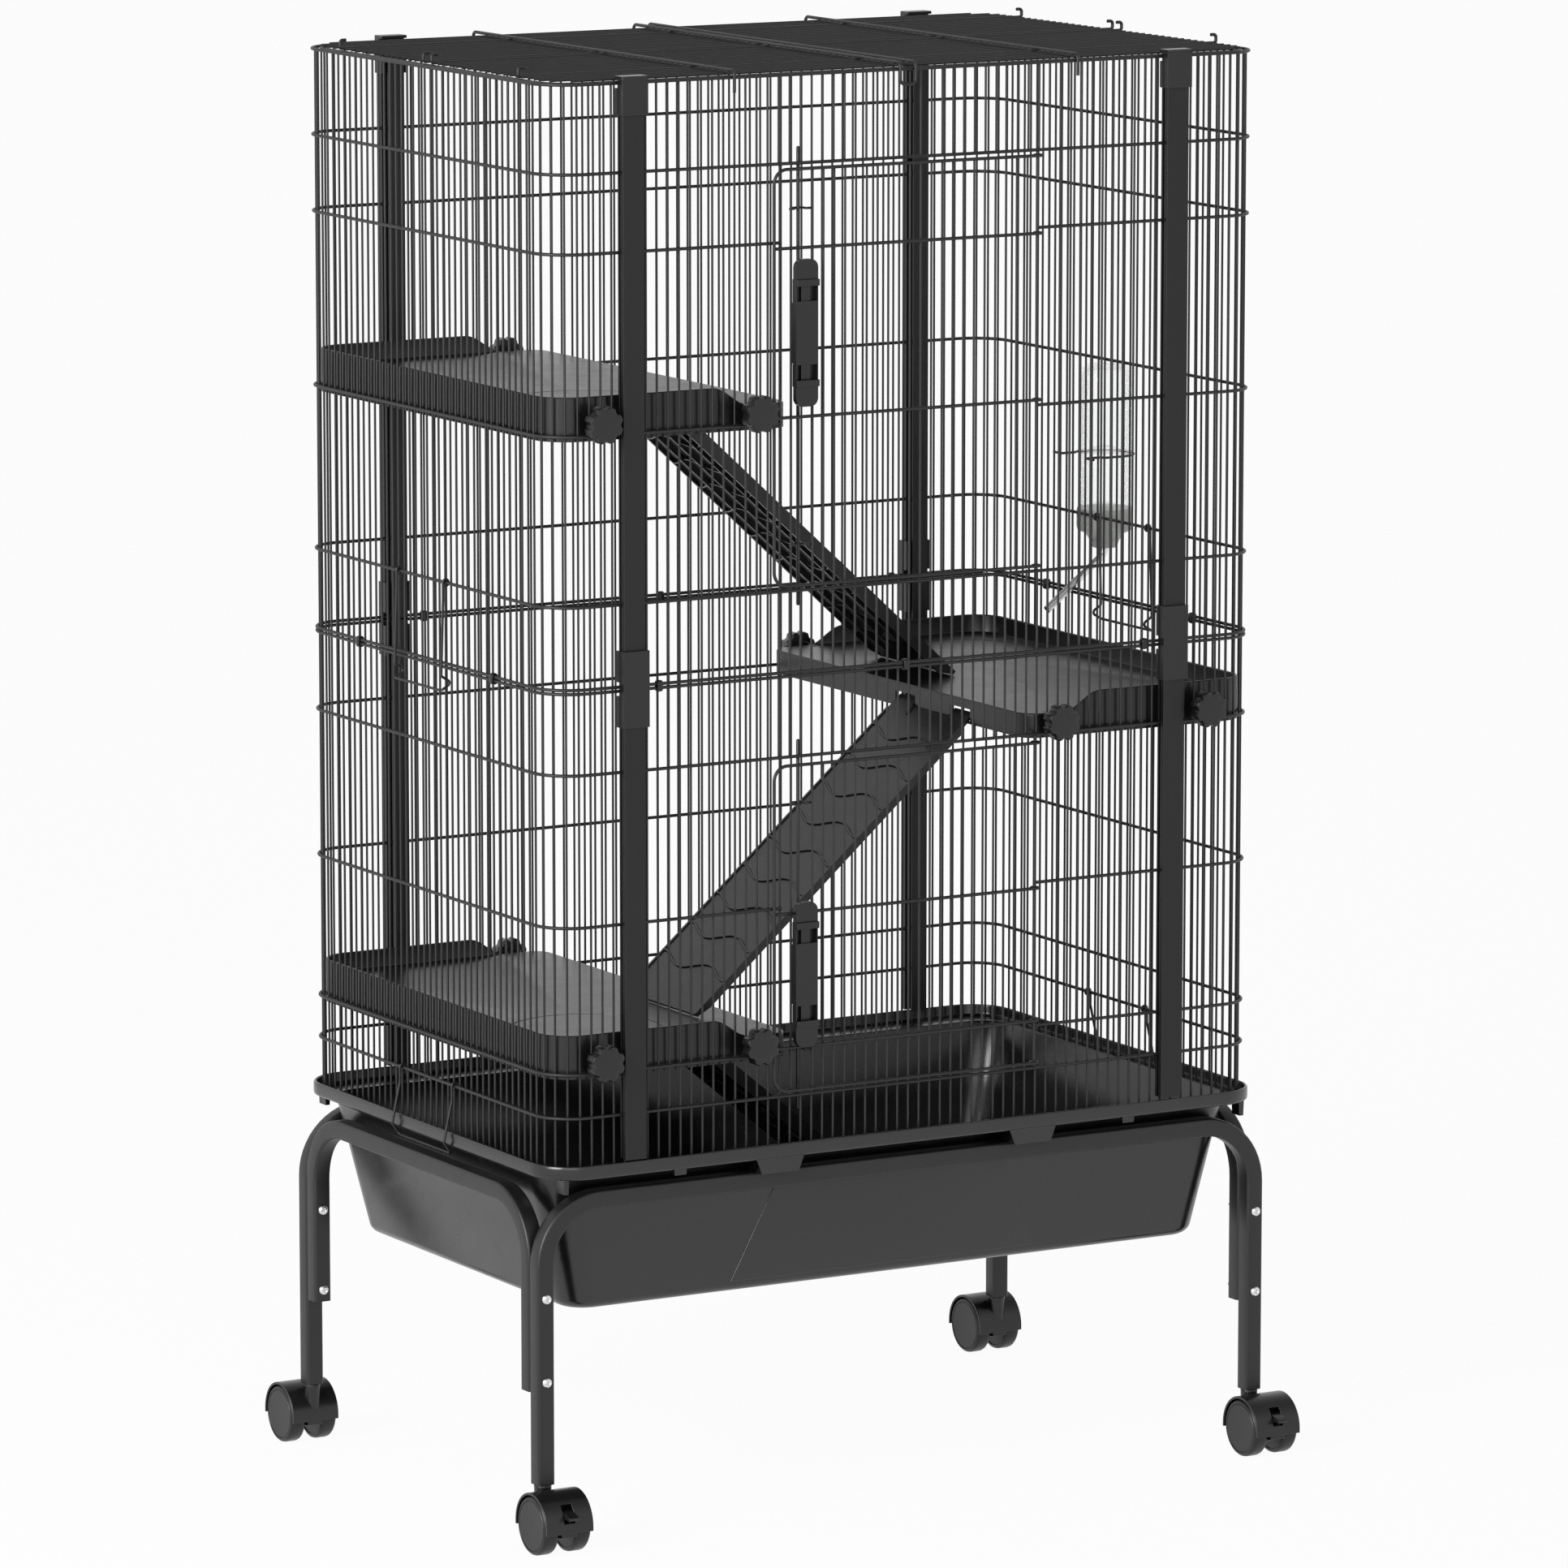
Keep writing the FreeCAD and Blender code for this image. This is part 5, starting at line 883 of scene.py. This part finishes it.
def pale_floor(name):
    """White seamless floor: white to the camera and in reflections, darkened softly by shadow."""
    finish, where = blank(name)
    tree = finish.node_tree
    shader = tree.nodes["Principled BSDF"]
    fill(finish, Base_Color=(0.9, 0.9, 0.9, 1), Roughness=0.9, Specular_IOR_Level=0.1)
    path = tree.nodes.new("ShaderNodeLightPath")
    seen = Link(tree, path.outputs["Is Camera Ray"])
    mirrored = Link(tree, path.outputs["Is Glossy Ray"])
    through = Link(tree, path.outputs["Is Transmission Ray"])
    glow = where.node("ShaderNodeEmission", {"Color": (1, 1, 1, 1), "Strength": 1.0})
    share = (seen + mirrored + through) * 0.95
    mixed = where.node("ShaderNodeMixShader", {0: share, 1: Link(tree, shader.outputs[0]), 2: glow})
    tree.links.new(mixed.socket, tree.nodes["Material Output"].inputs["Surface"])
    return finish


floor_mesh.materials.append(pale_floor("pale_floor"))


def soft_lamp(name, spot, target, size, power):
    """A square area lamp at a spot, turned towards a target."""
    lamp = bpy.data.lights.new(name, "AREA")
    lamp.shape, lamp.size, lamp.energy = "SQUARE", size, power
    holder = bpy.data.objects.new(name, lamp)
    holder.location = spot
    aim = mathutils.Vector(target) - mathutils.Vector(spot)
    holder.rotation_euler = aim.to_track_quat("-Z", "Y").to_euler()
    bpy.context.scene.collection.objects.link(holder)


soft_lamp("key_lamp", (-4.6, -1.8, 2.4), (0, 0, 0.7), 2.4, 230.0)
soft_lamp("front_lamp", (-2.6, -4.6, 2.2), (0, 0, 0.7), 3.0, 45.0)
world = bpy.data.worlds.new("studio_air")
world.use_nodes = True
air = world.node_tree
backdrop = air.nodes["Background"]
backdrop.inputs["Color"].default_value = (1, 1, 1, 1)
path = air.nodes.new("ShaderNodeLightPath")
kinds = ("Camera", "Glossy", "Transmission")
direct, mirrored, through = (Link(air, path.outputs[f"Is {kind} Ray"]) for kind in kinds)
ray = Link(air, air.nodes.new("ShaderNodeTexCoord").outputs["Generated"])
height = ray.node("ShaderNodeSeparateXYZ", {0: ray}, out="Z")
ceiling = height.node("ShaderNodeMapRange", {0: height, 1: 0.5, 2: 0.95, 3: 1.0, 4: 0.2})
seen = direct + through
air.links.new((seen + (1 - seen) * ceiling * (0.55 + mirrored * 0.4)).socket, backdrop.inputs["Strength"])
bpy.context.scene.world = world
lens = bpy.data.cameras.new("photo_camera")
lens.lens, lens.sensor_width, lens.clip_end = 207.6, 36.0, 300.0
viewer = bpy.data.objects.new("photo_camera", lens)
viewer.location = (-4.374, -7.618, 2.123)
viewer.rotation_euler = (math.radians(80.60), 0, math.radians(-29.89))
bpy.context.scene.collection.objects.link(viewer)
bpy.context.scene.camera = viewer
bpy.context.scene.view_settings.view_transform = "Standard"
